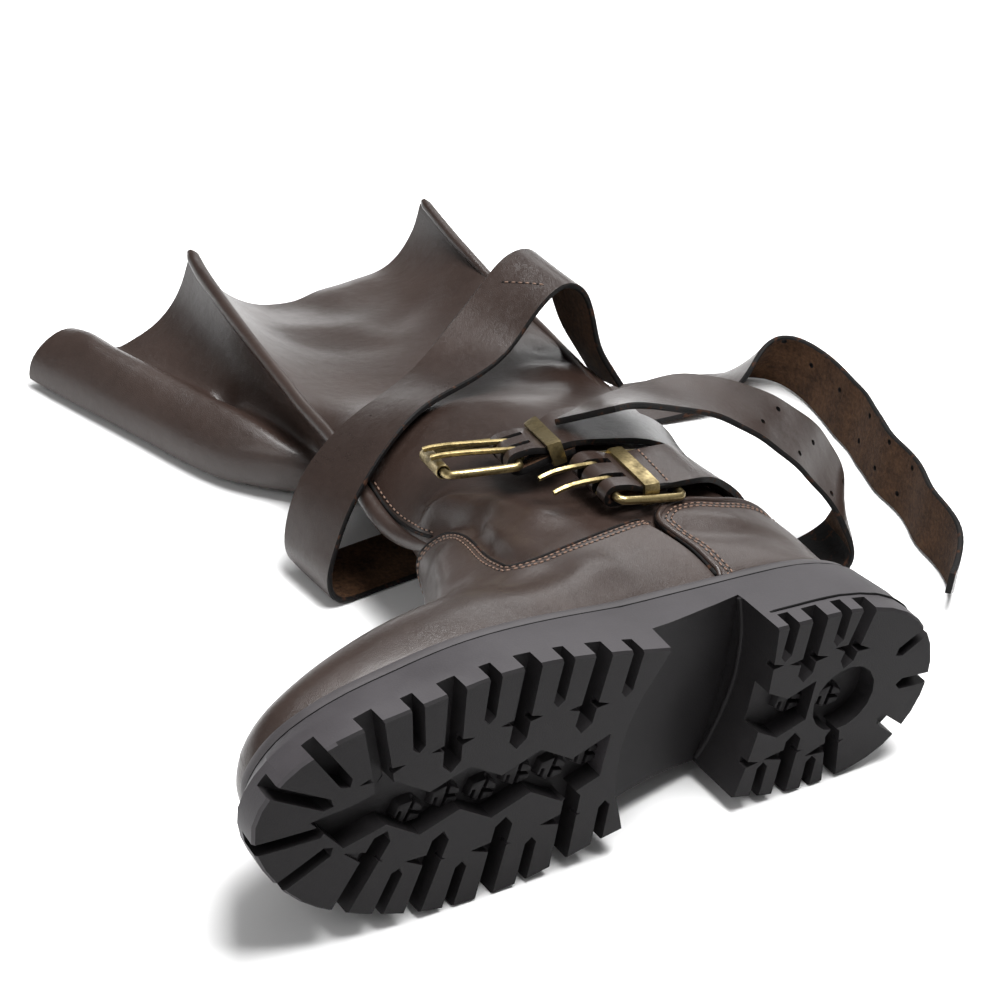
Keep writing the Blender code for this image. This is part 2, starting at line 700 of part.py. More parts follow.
def groove(outer, inner, width):
    """Cutter for one tread groove, pointed at its inner end."""
    run = np.subtract(inner, outer)
    length = np.linalg.norm(run)
    run = run / length
    over = np.array([-run[1], run[0]]) * width / 2
    shoulder = inner - run * width / 2
    plan = [inner, shoulder + over, outer + over, outer - over, shoulder - over]
    ends = tread_height(outer[0]), tread_height(inner[0])
    roof = []
    for point in plan:
        at = np.dot(point - outer, run) / length
        roof.append((*point, LUG_DEPTH + ends[0] + at * (ends[1] - ends[0])))
    return prism([[(*point, -CUT_OVER) for point in plan], roof])


def side_groove(x, length, width, turn, side):
    """Cutter for a groove that opens through the side wall."""
    angle = math.radians(turn)
    inwards = np.array([-math.sin(angle), -side * math.cos(angle)])
    edge = np.array([x, side * outline_half(x, side)])
    return groove(edge - CUT_OVER * inwards, edge + length * inwards, width)


def radial_grooves(x, y, inner, outer, width, angles):
    """Cutters for grooves that run out from a centre at the toe or the heel."""
    cutters = []
    for angle in np.radians(angles):
        outwards = np.array([math.cos(angle), math.sin(angle)])
        centre = np.array([x, y])
        cutters.append(groove(centre + outer * outwards, centre + inner * outwards, width))
    return cutters


def channel(first, last, step, y, half, sway):
    """Cutter for a zigzag channel along the middle of the tread."""
    left, right = [], []
    for k, x in enumerate(np.arange(first, last, step)):
        swing = sway if k % 2 else -sway
        left.append((x, y + half + swing))
        right.append((x, y - half + swing))
    tip = (first - step, y)
    plan = [tip] + left + right[::-1]
    low = [(x, y, -CUT_OVER) for x, y in plan]
    roof = [(x, y, LUG_DEPTH + tread_height(x)) for x, y in plan]
    return prism([low, roof])


def recess(x, y, radius):
    """Cutter for the round hollow in the heel."""
    turns = np.linspace(0.0, 2 * math.pi, 17)[:-1]
    plan = [(x + radius * math.cos(t), y + radius * math.sin(t)) for t in turns]
    return prism([[(*p, -CUT_OVER) for p in plan], [(*p, LUG_DEPTH) for p in plan]])


def waist():
    """Cutter for the hollow under the waist, between forefoot and heel block."""
    rings = []
    for y in np.linspace(-WAIST_REACH, WAIST_REACH, 13):
        bow = max(0.0, 1 - (y / WAIST_BOW_HALF) ** 2)
        front = FOREFOOT_REAR_X + FOREFOOT_REAR_HOLLOW * bow
        rear = HEEL_BREAST_X - HEEL_BREAST_HOLLOW * bow
        middle = 0.45 * front + 0.55 * rear
        rings.append([
            (front, y, -CUT_OVER),
            (front - 1.5, y, WAIST_Z_FRONT),
            (middle, y, 0.5 * (WAIST_Z_FRONT + WAIST_Z_REAR) + 0.5),
            (rear + 1.0, y, WAIST_Z_REAR),
            (rear, y, -CUT_OVER),
        ])
    count = len(rings[0])
    faces = [tuple(range(count))]
    for k in range(len(rings) - 1):
        faces += [tuple(reversed(f)) for f in ring_faces(k * count, (k + 1) * count, count)]
    last = (len(rings) - 1) * count
    faces.append(tuple(range(last + count - 1, last - 1, -1)))
    return [p for ring in rings for p in ring], faces


def add_tread_cutter(parent):
    """Everything that is cut out of the sole, as one hidden body."""
    cutters = [waist(), recess(*HEEL_RECESS)]
    for x, length, width, turn in SIDE_GROOVES:
        cutters.append(side_groove(x, length, width, turn, 1))
        cutters.append(side_groove(x - RIGHT_LAG, length, width, turn, -1))
    for row in RADIAL_GROOVES:
        cutters += radial_grooves(*row)
    for row in CHANNELS:
        cutters.append(channel(*row))
    points, faces = [], []
    for cutter_points, cutter_faces in cutters:
        first = len(points)
        points += cutter_points
        faces += [tuple(first + k for k in face) for face in cutter_faces]
    cutter = add_mesh("tread_cutter", points, faces, None, parent)
    turn_outwards(cutter)
    cutter.hide_render = True
    cutter.display_type = "WIRE"
    return cutter


def add_welt(finish, parent):
    """Grey band between the sole and the leather, with an eased outer edge."""
    count = len(outline_ring())
    inner = top_inset(WELT_REACH)
    outer = top_inset(WELT_SET_IN)
    low = lambda x: sole_top(x) + GAP
    high = lambda x: sole_top(x) + GAP + WELT_THICK
    points = level(outer, low)
    points += level(outer, lambda x: high(x) - 1.2)
    points += level(outer + 1.2, high)
    points += level(inner, high)
    points += level(inner, low)
    faces = []
    for k in range(5):
        faces += [tuple(reversed(f)) for f in ring_faces(k * count, (k + 1) % 5 * count, count)]
    return add_mesh("welt", points, faces, finish, parent)


def add_insole(finish, parent):
    """Insole board, inside the welt and the upper's wall."""
    depth = top_inset(WELT_REACH + INSOLE_SET_IN)
    levels = [
        level(depth, lambda x: sole_top(x) + GAP),
        level(depth, lambda x: sole_top(x) + 2 * GAP + WELT_THICK + INSOLE_THICK),
    ]
    return add_plate("insole", levels, finish, parent)


def add_upper(finish, parent):
    """Hollow foot and shaft, open at the collar and under the foot."""
    rows, columns = mesh_lines()
    points = [upper_point(0.0, 0.0)]
    grid = [[0] * len(columns)]
    for row in rows[1:]:
        closed = row >= HEEL_ROW
        numbers = []
        for across in columns[:-1] if closed else columns:
            numbers.append(len(points))
            points.append(upper_point(row, across))
        grid.append(numbers + numbers[:1] if closed else numbers)
    faces = []
    for low, high in zip(grid, grid[1:]):
        for k in range(len(columns) - 1):
            corners = [low[k], high[k], high[k + 1], low[k + 1]]
            faces.append(tuple(dict.fromkeys(corners)))
    upper = add_mesh("upper", points, faces, finish, parent)
    wall = upper.modifiers.new("wall", "SOLIDIFY")
    wall.thickness = WALL * MM
    wall.offset = -1.0
    return upper


def add_shell(name, outer, inner, faces, finish, parent):
    """Closed skin between two copies of an open sheet, joined round its rims."""
    count = len(outer)
    shell = []
    for face in faces:
        for k in range(1, len(face) - 1):
            corners = (face[0], face[k], face[k + 1])
            shell += [corners, tuple(count + corner for corner in reversed(corners))]
    edges = set()
    for face in faces:
        edges.update(zip(face, face[1:] + face[:1]))
    for start, end in sorted(edges):
        if (end, start) not in edges:
            shell.append((end, start, count + start, count + end))
    made = add_mesh(name, list(outer) + list(inner), shell, finish, parent)
    turn_outwards(made)
    return made


def spot(row, across):
    """Key of a place on the upper, the same on both sides of the toe and the back seam."""
    row, across = round(float(row), 4), round(float(across), 4)
    if row == 0.0:
        across = 0.0
    if row >= HEEL_ROW and across == -1.0:
        across = 1.0
    return row, across


def add_overlay(name, grids, low, high, finish, parent):
    """Leather laid over the upper, from grids of places and its two lifts."""
    spots = {}
    faces = []
    for grid in grids:
        for front, rear in zip(grid, grid[1:]):
            for k in range(len(front) - 1):
                corners = [front[k], rear[k], rear[k + 1], front[k + 1]]
                face = tuple(dict.fromkeys(spots.setdefault(spot(*c), len(spots)) for c in corners))
                if len(face) > 2:
                    faces.append(face)
    outer = [on_mesh(row, across, high) for row, across in spots]
    inner = [on_mesh(row, across, low) for row, across in spots]
    return add_shell(name, outer, inner, faces, finish, parent)


def overlay_base(row):
    """Place across of an overlay's base, clear of the welt."""
    steps = np.diff(half_section(round(float(row), 5), 1), axis=0)
    return 1.0 - OVERLAY_CLEAR / np.sum(np.linalg.norm(steps, axis=1))


def wing_top(row):
    """Place across of the top edge of the vamp's wing."""
    return float(smooth(WING_EDGE, row)[0])


def tongue_row(across):
    """Row of the vamp's rear edge at a place across."""
    return float(smooth([(place, row) for row, place in TONGUE_EDGE], abs(across))[0])


def add_vamp(finish, parent):
    """Toe and forefoot, with a tongue at the throat and a wing along each side."""
    saddle_row, saddle = TONGUE_EDGE[-1]
    rear_top = WING_EDGE[-1][0]
    shares = np.linspace(-1.0, 1.0, VAMP_MIDDLE_LINES)
    middle = saddle * np.sign(shares) * np.abs(shares) ** VAMP_MIDDLE_POWER
    sides = np.linspace(0.0, 1.0, VAMP_SIDE_LINES)
    front = []
    for row in [VAMP_FRONT_ROW] + list(np.linspace(VAMP_SECOND_ROW, saddle_row, VAMP_ROWS)):
        base = overlay_base(row)
        left = [-(base - part * (base - saddle)) for part in sides[:-1]]
        right = [-across for across in reversed(left)]
        front.append([(row, across) for across in left + list(middle) + right])
    tongue = []
    for part in np.linspace(0.0, 1.0, VAMP_SIDE_LINES):
        tongue.append([(saddle_row + part * (tongue_row(a) - saddle_row), a) for a in middle])
    wings = []
    for side in (-1, 1):
        wing = []
        for part in np.linspace(0.0, 1.0, VAMP_SIDE_LINES):
            line = []
            for down in sides[::-1]:
                rear = rear_top + down * (VAMP_REAR_ROW - rear_top)
                row = saddle_row + part * (rear - saddle_row)
                top = wing_top(saddle_row + part * (rear_top - saddle_row))
                line.append((row, side * (top + down * (overlay_base(row) - top))))
            wing.append(line if side < 0 else line[::-1])
        wings.append(wing)
    grids = [front, tongue] + wings
    return add_overlay("vamp", grids, OVERLAY_LIFT, OVERLAY_LIFT + OVERLAY_THICK, finish, parent)


def add_counter(finish, parent):
    """Heel leather, from one front edge round the heel to the other."""
    grids = []
    for side in (-1, 1):
        grid = []
        for at in np.linspace(0.0, len(COUNTER_EDGE) - 1, 12):
            base_row, base, top_row, top = spline(COUNTER_EDGE, at)
            line = []
            for up in np.linspace(0.0, 1.0, 6):
                line.append((base_row + up * (top_row - base_row), side * (base + up * (top - base))))
            grid.append(line if side < 0 else line[::-1])
        grids.append(grid)
    return add_overlay("counter", grids, COUNTER_LIFT, COUNTER_LIFT + OVERLAY_THICK, finish, parent)


def add_front_seam(finish, parent):
    """Raised seam down the front of the shaft."""
    rows = range(FRONT_SEAM_ROW, COLLAR_ROW + 1)
    grid = [[(row, across) for across in (-SEAM_HALF, 0.0, SEAM_HALF)] for row in rows]
    return add_overlay("front_seam", [grid], SEAM_LIFT, SEAM_LIFT + SEAM_THICK, finish, parent)


def add_back_seam(finish, parent):
    """Raised seam up the back of the shaft."""
    rows = range(BACK_SEAM_ROW, COLLAR_ROW + 1)
    inner = [[(row, across) for across in (1.0 - SEAM_HALF, 1.0)] for row in rows]
    outer = [[(row, across) for across in (-1.0, SEAM_HALF - 1.0)] for row in rows]
    return add_overlay("back_seam", [inner, outer], SEAM_LIFT, SEAM_LIFT + SEAM_THICK, finish, parent)


def grid_faces(lines, across):
    """Quads of a grid of points, line by line."""
    faces = []
    for k in range(lines - 1):
        for j in range(across - 1):
            corner = k * across + j
            faces.append((corner, corner + across, corner + across + 1, corner + 1))
    return faces


def add_free_strap(name, route, tip, finish, parent):
    """Strap along its own route, with a blunt point at its far end if it has a tip."""
    steps = np.linspace(0.0, len(route) - 1, STRAP_STEPS * (len(route) - 1) + 1)
    rows = [spline(route, at) for at in steps]
    middle = np.array([from_floor(*row[:3]) for row in rows])
    over = np.array([from_floor(*row[3:]) - from_floor(0.0, 0.0, 0.0) for row in rows])
    run = np.gradient(middle, axis=0)
    run /= np.linalg.norm(run, axis=1)[:, None]
    over -= run * np.sum(run * over, axis=1)[:, None]
    over /= np.linalg.norm(over, axis=1)[:, None]
    face = np.cross(run, over)
    left = np.linalg.norm(middle - middle[-1], axis=1)
    half = np.full(len(rows), STRAP_WIDTH / 2)
    if tip:
        half *= np.interp(left, [0.0, tip], [STRAP_TIP_SHARE, 1.0])
    outer, inner = [], []
    for k in range(len(rows)):
        for side in (-1, 1):
            edge = middle[k] + side * half[k] * over[k]
            outer.append(edge + face[k] * STRAP_THICK / 2)
            inner.append(edge - face[k] * STRAP_THICK / 2)
    faces = [tuple(reversed(f)) for f in grid_faces(len(rows), 2)]
    return add_shell(name, outer, inner, faces, finish, parent)


def leg_polar(point):
    """Angle and distance of a point round the middle of the leg."""
    along = LIE_COS * point[0] - LIE_SIN * point[1] - LEG_ALONG
    height = LIE_SIN * point[0] + LIE_COS * point[1] + FLOOR_OFFSET - LEG_HEIGHT
    return math.degrees(math.atan2(height, along)) % 360.0, math.hypot(along, height)


@lru_cache(maxsize=None)
def leg_samples():
    """Places on the ankle with their angles round the leg and their heights."""
    places, where = [], []
    for row in np.arange(LEG_FIRST_ROW, LEG_LAST_ROW, LEG_ROW_STEP):
        for across in np.linspace(-1.0, 1.0, LEG_ACROSS_STEPS):
            if row < HEEL_ROW and abs(across) == 1.0:
                continue
            point = upper_point(row, across)
            places.append((row, across))
            where.append((leg_polar(point)[0], point[2]))
    return np.array(places), np.array(where)


@lru_cache(maxsize=None)
def leg_place(angle, z):
    """Row and place across of the upper at an angle round the leg and a height."""
    places, where = leg_samples()
    row, across = places[np.argmin(np.sum((where - (angle, z)) ** 2, axis=1))]
    for _ in range(6):
        point = upper_point(row, across)
        miss = np.array([angle - leg_polar(point)[0], z - point[2]])
        slopes = []
        for step_row, step_across in ((0.1, 0.0), (0.0, 0.01 if across < 0 else -0.01)):
            other = upper_point(row + step_row, across + step_across)
            change = [leg_polar(other)[0] - leg_polar(point)[0], other[2] - point[2]]
            slopes.append(np.array(change) / (step_row + step_across))
        move = np.linalg.solve(np.transpose(slopes), miss)
        row += float(np.clip(move[0], -0.5, 0.5))
        across = float(np.clip(across + np.clip(move[1], -0.05, 0.05), -1.0, 1.0))
    return row, across


class StrapPath:
    """Line of an ankle strap over the leather, measured in mm from its buckle bar."""

    def __init__(self, table):
        self.line = np.array([spline(table, at) for at in np.linspace(0.0, len(table) - 1, 70)])
        points = np.array([self.surface(angle, z, 0.0) for angle, z in self.line])
        steps = np.linalg.norm(np.diff(points, axis=0), axis=1)
        reach = np.concatenate([[0.0], np.cumsum(steps)])
        bar_at = np.interp(table[1][0], self.line[:, 0], reach)
        self.reach = reach - bar_at

    def surface(self, angle, z, lift):
        """Boot point over the leather at an angle round the leg and a height."""
        return upper_surface(*leg_place(round(float(angle), 2), round(float(z), 2)), lift)

    def end(self):
        """Length from the bar to the hidden end."""
        return self.reach[-1]

    def point(self, run, over, lift):
        """Boot point at a run along the strap, a distance across it and a lift."""
        angle = np.interp(run, self.reach, self.line[:, 0])
        z = np.interp(run, self.reach, self.line[:, 1])
        ahead = np.interp(run + 4.0, self.reach, self.line[:, 1])
        behind = np.interp(run - 4.0, self.reach, self.line[:, 1])
        slope = (ahead - behind) / 8.0
        radius = leg_polar(self.surface(angle, z, 0.0))[1]
        turn = math.degrees(over * slope / radius)
        return self.surface(angle - turn, z + over * math.sqrt(1 - slope * slope), lift)


def floor_way(along, height, up):
    """Unit direction in boot axes, given along the floor, above it and up the shaft."""
    way = from_floor(along, height, up) - from_floor(0.0, 0.0, 0.0)
    return way / np.linalg.norm(way)


class StrapEnd:
    """Strap round its buckle bar: flat across at the bar, on the leather further on."""

    def __init__(self, table, origin, bar, flat):
        self.path = StrapPath(table)
        self.flat_run, self.settle_run, aim_run, aim_lift = flat
        self.origin = origin
        self.bar = bar
        back = self.path.point(aim_run, 0.0, aim_lift) - self.origin
        back -= self.bar * np.dot(back, self.bar)
        self.back = back / np.linalg.norm(back)
        self.out = np.cross(self.back, self.bar)

    def point(self, run, over, lift):
        """Boot point at a run behind the bar, a distance across and a lift."""
        flat = self.origin + run * self.back + over * self.bar + (lift - BAR_LIFT) * self.out
        on_leather = self.path.point(run, over, lift)
        return flat + ease((run - self.flat_run) / self.settle_run) * (on_leather - flat)


def strap_profile(end, lifted):
    """Run and lift of the strap's middle, from the flap round the bar to the hidden end."""
    turn = WIRE / 2 + GAP + STRAP_THICK / 2
    flap = BAR_LIFT - turn
    top = flap + STRAP_THICK + 2 * GAP
    rest = STRAP_LIFT + STRAP_THICK / 2
    profile = [(run, flap) for run in (FOLD_FLAP, KEEPER_BACK + 4.0, KEEPER_BACK - 4.0, SLOT_REACH)]
    for angle in np.radians(np.linspace(-90.0, -270.0, 9)):
        profile.append((turn * math.cos(angle), BAR_LIFT + turn * math.sin(angle)))
    profile += [(SLOT_REACH, BAR_LIFT + turn - 1.0), (KEEPER_BACK - 4.0, top + 0.3), (KEEPER_BACK + 4.0, top)]
    high_to = BUCKLE_LENGTH + 2.0 if lifted else FOLD_FLAP
    profile += [(high_to, top), (high_to + 6.0, 0.6 * top + 0.4 * rest), (high_to + 14.0, rest)]
    runs = np.linspace(high_to + 14.0, end.path.end(), 9)[1:]
    return profile + [(run, rest) for run in runs]


def add_ankle_strap(name, end, lifted, finish, parent):
    """Strap folded round its buckle bar, with slots for the prongs, and run round the ankle."""
    profile = np.array(strap_profile(end, lifted))
    along = np.gradient(profile, axis=0)
    along /= np.linalg.norm(along, axis=1)[:, None]
    normal = np.stack([-along[:, 1], along[:, 0]], axis=1) * STRAP_THICK / 2
    half, spread, slot = ANKLE_STRAP_WIDTH / 2, PRONG_SPREAD / 2, PRONG_SLOT / 2
    columns = [-half, -spread - slot, -spread + slot, spread - slot, spread + slot, half]
    outer, inner = [], []
    for (run, lift), (run_off, lift_off) in zip(profile, normal):
        outer += [end.point(run + run_off, over, lift + lift_off) for over in columns]
        inner += [end.point(run - run_off, over, lift - lift_off) for over in columns]
    first = 3
    last = first + 10
    faces = []
    for face in grid_faces(len(profile), len(columns)):
        line, column = divmod(face[0], len(columns))
        if not (first <= line < last and column in (1, 3)):
            faces.append(face)
    return add_shell(name, outer, inner, faces, finish, parent)


def add_keeper(name, end, finish, parent):
    """Flat brass loop round both layers of a strap."""
    half = ANKLE_STRAP_WIDTH / 2 + GAP
    turn = WIRE / 2 + GAP + STRAP_THICK / 2
    low = BAR_LIFT - turn - STRAP_THICK / 2 - GAP
    high = BAR_LIFT - turn + 1.5 * STRAP_THICK + 4 * GAP
    points = []
    for sides, lift, grow in (((-1, -0.5, 0, 0.5, 1), low, -1), ((1, 0.5, 0, -0.5, -1), high, 1)):
        for side in sides:
            over = side * half
            wide = over + (KEEPER_THICK * side if abs(side) == 1 else 0.0)
            thick = lift + grow * KEEPER_THICK
            corners = ((-1, wide, thick), (1, wide, thick), (1, over, lift), (-1, over, lift))
            for run, place, height in corners:
                points.append(end.point(KEEPER_BACK + run * KEEPER_WIDE / 2, place, height))
    count = len(points) // 4
    faces = []
    for k in range(count):
        faces += ring_faces(4 * k, 4 * ((k + 1) % count), 4)
    keeper = add_mesh(name, points, faces, finish, parent)
    turn_outwards(keeper)
    return keeper


class Buckle:
    """Axes of a buckle at its bar: towards its end, along the bar, out of the leather."""

    def __init__(self, end, way):
        self.origin = end.origin
        self.bar = end.bar
        run = way - self.bar * np.dot(way, self.bar)
        self.run = run / np.linalg.norm(run)
        out = np.cross(self.bar, self.run)
        self.out = out if np.dot(out, end.out) > 0 else -out

    def point(self, run, bar, out):
        """Boot point from distances along the buckle's axes."""
        return self.origin + run * self.run + bar * self.bar + out * self.out


def tube(line, side, radius, corners, closed):
    """Points and faces of a round bar along a line of points in a plane across a side."""
    line = np.asarray(line, float)
    count = len(line)
    if closed:
        run = np.roll(line, -1, axis=0) - np.roll(line, 1, axis=0)
    else:
        run = np.gradient(line, axis=0)
    run /= np.linalg.norm(run, axis=1)[:, None]
    points = []
    for k in range(count):
        over = np.cross(run[k], side)
        for turn in np.linspace(0.0, 2 * math.pi, corners + 1)[:-1]:
            points.append(line[k] + radius * (math.cos(turn) * over + math.sin(turn) * side))
    faces = []
    for k in range(count if closed else count - 1):
        faces += ring_faces(k * corners, (k + 1) % count * corners, corners)
    if not closed:
        faces.append(tuple(range(corners)))
        faces.append(tuple(range((count - 1) * corners, count * corners)))
    return points, faces


def add_at(name, origin, points, faces, finish, parent):
    """Object with its own origin on a joint's axis."""
    made = add_mesh(name, [point - origin for point in points], faces, finish, parent)
    turn_outwards(made)
    made.location = Vector(origin) * MM
    return made


def add_frame(name, buckle, finish, parent):
    """Rounded brass frame of a buckle."""
    half = BUCKLE_OPEN / 2 + WIRE / 2
    length = BUCKLE_LENGTH - WIRE
    reach = length - BUCKLE_CORNER
    wide = half - BUCKLE_CORNER
    line = []
    for run, bar, first in ((reach, wide, 0.0), (BUCKLE_CORNER, wide, 90.0),
                            (BUCKLE_CORNER, -wide, 180.0), (reach, -wide, 270.0)):
        for angle in np.radians(first + np.linspace(0.0, 90.0, 4)):
            run_at = run + BUCKLE_CORNER * math.cos(angle)
            line.append(buckle.point(run_at, bar + BUCKLE_CORNER * math.sin(angle), 0.0))
    points, faces = tube(line, buckle.out, WIRE / 2, 8, True)
    return add_at(name, buckle.origin, points, faces, finish, parent)


def add_roller(name, buckle, finish, parent):
    """Brass sleeve that turns on the end bar of a buckle."""
    centre = BUCKLE_LENGTH - WIRE
    inside = WIRE / 2 + GAP
    points = []
    for bar, radius in ((-1, inside), (-1, ROLLER_RADIUS), (1, ROLLER_RADIUS), (1, inside)):
        for turn in np.linspace(0.0, 2 * math.pi, 15)[:-1]:
            run = centre + radius * math.cos(turn)
            points.append(buckle.point(run, bar * ROLLER_LENGTH / 2, radius * math.sin(turn)))
    faces = []
    for k in range(4):
        faces += ring_faces(14 * k, 14 * ((k + 1) % 4), 14)
    return add_at(name, buckle.point(centre, 0.0, 0.0), points, faces, finish, parent)


def add_prong(name, buckle, bar, shape, finish, parent):
    """Prong curled round the bar, then along a shape of run and lift."""
    radius = WIRE / 2 + GAP + PRONG_WIRE / 2
    curl = [(radius * math.cos(t), radius * math.sin(t)) for t in np.radians(np.linspace(325.0, 100.0, 8))]
    line = [buckle.point(run, bar, out) for run, out in curl + list(shape)]
    points, faces = tube(line, buckle.bar, PRONG_WIRE / 2, 6, False)
    return add_at(name, buckle.origin, points, faces, finish, parent)


def lying_boot():
    """Empty that lays the boot on its inner side, toe to -X and shaft to +Y."""
    boot = bpy.data.objects.new("boot_lying", None)
    bpy.context.scene.collection.objects.link(boot)
    turn = Matrix(((-LIE_COS, LIE_SIN, 0.0), (0.0, 0.0, 1.0), (LIE_SIN, LIE_COS, 0.0)))
    place = Vector((ORIGIN_ALONG, -ORIGIN_UP, FLOOR_OFFSET)) * MM
    boot.matrix_world = Matrix.Translation(place) @ turn.to_4x4()
    return boot


def main():
    for old in list(bpy.data.objects):
        bpy.data.objects.remove(old)
    boot = lying_boot()
    leather = material("brown_leather", (0.055, 0.036, 0.030), 0.38)
    rubber = material("black_rubber", (0.022, 0.021, 0.023), 0.6)
    grey_rubber = material("grey_rubber", (0.07, 0.068, 0.072), 0.55)
    strap_leather = material("strap_leather", (0.050, 0.032, 0.027), 0.42)
    brass = material("antique_brass", (0.38, 0.29, 0.14), 0.32, 1.0)
    board = material("insole_board", (0.20, 0.13, 0.09), 0.8)
    add_outsole(rubber, boot)
    add_welt(grey_rubber, boot)
    add_insole(board, boot)
    add_upper(leather, boot)
    add_vamp(leather, boot)
    add_counter(leather, boot)
    add_front_seam(leather, boot)
    add_back_seam(leather, boot)
    add_free_strap("wrap_strap", WRAP_ROUTE, 0.0, strap_leather, boot)
    add_free_strap("rear_strap", REAR_ROUTE, STRAP_TIP, strap_leather, boot)
    add_free_strap("strap_tail", TAIL_ROUTE, 0.0, strap_leather, boot)
    upper_end = StrapEnd(UPPER_STRAP, from_floor(*UPPER_BAR), floor_way(*UPPER_BAR_WAY), UPPER_FLAT)
    lower_end = StrapEnd(LOWER_STRAP, from_floor(*LOWER_BAR), floor_way(*LOWER_BAR_WAY), LOWER_FLAT)
    add_ankle_strap("ankle_strap_upper", upper_end, False, strap_leather, boot)
    add_ankle_strap("ankle_strap_lower", lower_end, True, strap_leather, boot)
    add_keeper("keeper_upper", upper_end, brass, boot)
    add_keeper("keeper_lower", lower_end, brass, boot)
    upper_buckle = Buckle(upper_end, floor_way(*UPPER_FRAME_WAY))
    add_frame("buckle_upper", upper_buckle, brass, boot)
    add_roller("roller_upper", upper_buckle, brass, boot)
    under = (BUCKLE_LENGTH - WIRE) * lower_end.back - FRAME_DROP * lower_end.out
    add_frame("buckle_lower", Buckle(lower_end, under), brass, boot)
    lower_prongs = Buckle(lower_end, floor_way(*LOWER_PRONG_WAY))
    for number, side in ((1, -1), (2, 1)):
        place = side * PRONG_SPREAD / 2
        add_prong(f"prong_upper_{number}", upper_buckle, place, LAID_PRONG, brass, boot)
        add_prong(f"prong_lower_{number}", lower_prongs, place, FREE_PRONG, brass, boot)


main()
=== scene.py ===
import math

import bmesh
import bpy
import numpy as np
from mathutils import Matrix, Vector
from mathutils.bvhtree import BVHTree
from mathutils.geometry import convex_hull_2d


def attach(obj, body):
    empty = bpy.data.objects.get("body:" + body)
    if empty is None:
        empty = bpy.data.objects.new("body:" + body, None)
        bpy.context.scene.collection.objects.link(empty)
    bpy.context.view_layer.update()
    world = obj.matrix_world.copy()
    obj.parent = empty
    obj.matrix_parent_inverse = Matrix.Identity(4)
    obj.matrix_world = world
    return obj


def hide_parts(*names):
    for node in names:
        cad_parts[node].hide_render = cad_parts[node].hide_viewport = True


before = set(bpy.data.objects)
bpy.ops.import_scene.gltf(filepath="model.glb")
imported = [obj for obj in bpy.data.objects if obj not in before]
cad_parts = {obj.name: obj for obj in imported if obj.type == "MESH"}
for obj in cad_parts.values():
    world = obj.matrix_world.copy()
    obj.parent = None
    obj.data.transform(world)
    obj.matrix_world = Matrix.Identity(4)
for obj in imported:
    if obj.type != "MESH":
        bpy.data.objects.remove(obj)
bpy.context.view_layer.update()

# All lengths are metres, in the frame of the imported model.
# Joining and smoothing of the pieces, and how firmly their edges are held.
WELD = 1e-5
QUARTER_TURN = math.radians(90)
RIM_ANGLE = math.radians(50)
QUAD_ANGLE = math.radians(60)
SMOOTH_ANGLE = math.radians(40)
FINE_LEVELS = 2
PLAIN_LEVELS = 1
LEATHER_HOLD = {"upper": 0.75, "vamp": 1.0, "counter": 1.0}
STRAP_HOLD = 0.8
BRASS_HOLD = 0.55
WELT_HOLD = 0.6
INSOLE_HOLD = 0.7
# A side is broad if its area is more than this share of the side that was looked for.
BROAD_SHARE = 0.4
# Parts of each span of a smooth line.
LINE_SPLITS = 12
# Weight of a rim's corner against its neighbours, and the corners its inward way is evened over.
RIM_WEIGHT = 4.0
RIM_STEPS = (-2, -1, 0, 1, 2)

# One side of each strap, its grain or its suede, and a point on it.
STRAP_SIDES = {
    "wrap_strap": ("suede", (0.0863, 0.0536, 0.0384)),
    "rear_strap": ("suede", (0.1736, -0.0247, 0.0163)),
    "strap_tail": ("grain", (0.1137, -0.0454, 0.0510)),
    "ankle_strap_upper": ("grain", (0.0092, -0.0377, 0.0801)),
    "ankle_strap_lower": ("grain", (0.0237, -0.0710, 0.0805)),
}
# Buckle bars: a point on each and its way, for the prong slots.
BARS = {
    "ankle_strap_upper": ((-0.0096, -0.0354, 0.0740), (0.32009, 0.89168, -0.32009)),
    "ankle_strap_lower": ((0.0044, -0.0670, 0.0798), (0.08871, 0.99353, -0.07097)),
}
# Prong slots: reach round the bar, distance from the middle, and share of the width that is kept.
SLOT_NEAR = 0.012
SLOT_MIDDLE = 0.005
SLOT_NARROW = 0.68

# A point on the outer side of each piece of upper leather.
OUTER_POINTS = {
    "upper": (-0.0176, -0.0142, 0.0560),
    "vamp": (-0.0788, -0.1278, 0.0874),
    "counter": (0.0553, -0.0957, 0.0663),
}
OVERLAY_RISE = 0.0006
CORNER_KEEP = 0.4
# Places at the back of the heel where folds of the solid are evened out.
HEEL_FOLDS = [(0.0750, -0.1185, 0.0500), (0.0742, -0.1190, 0.0215)]
HEEL_EASE = 0.0100
HEEL_BASE = -0.1230
EASE_FACTOR = 0.5
EASE_REPEATS = 14
# Lower rims: how far down a face looks to be one, and how near the welt it is set on it.
RIM_FACING = {"vamp": -0.5, "counter": -0.85}
BASE_REACH = 0.008

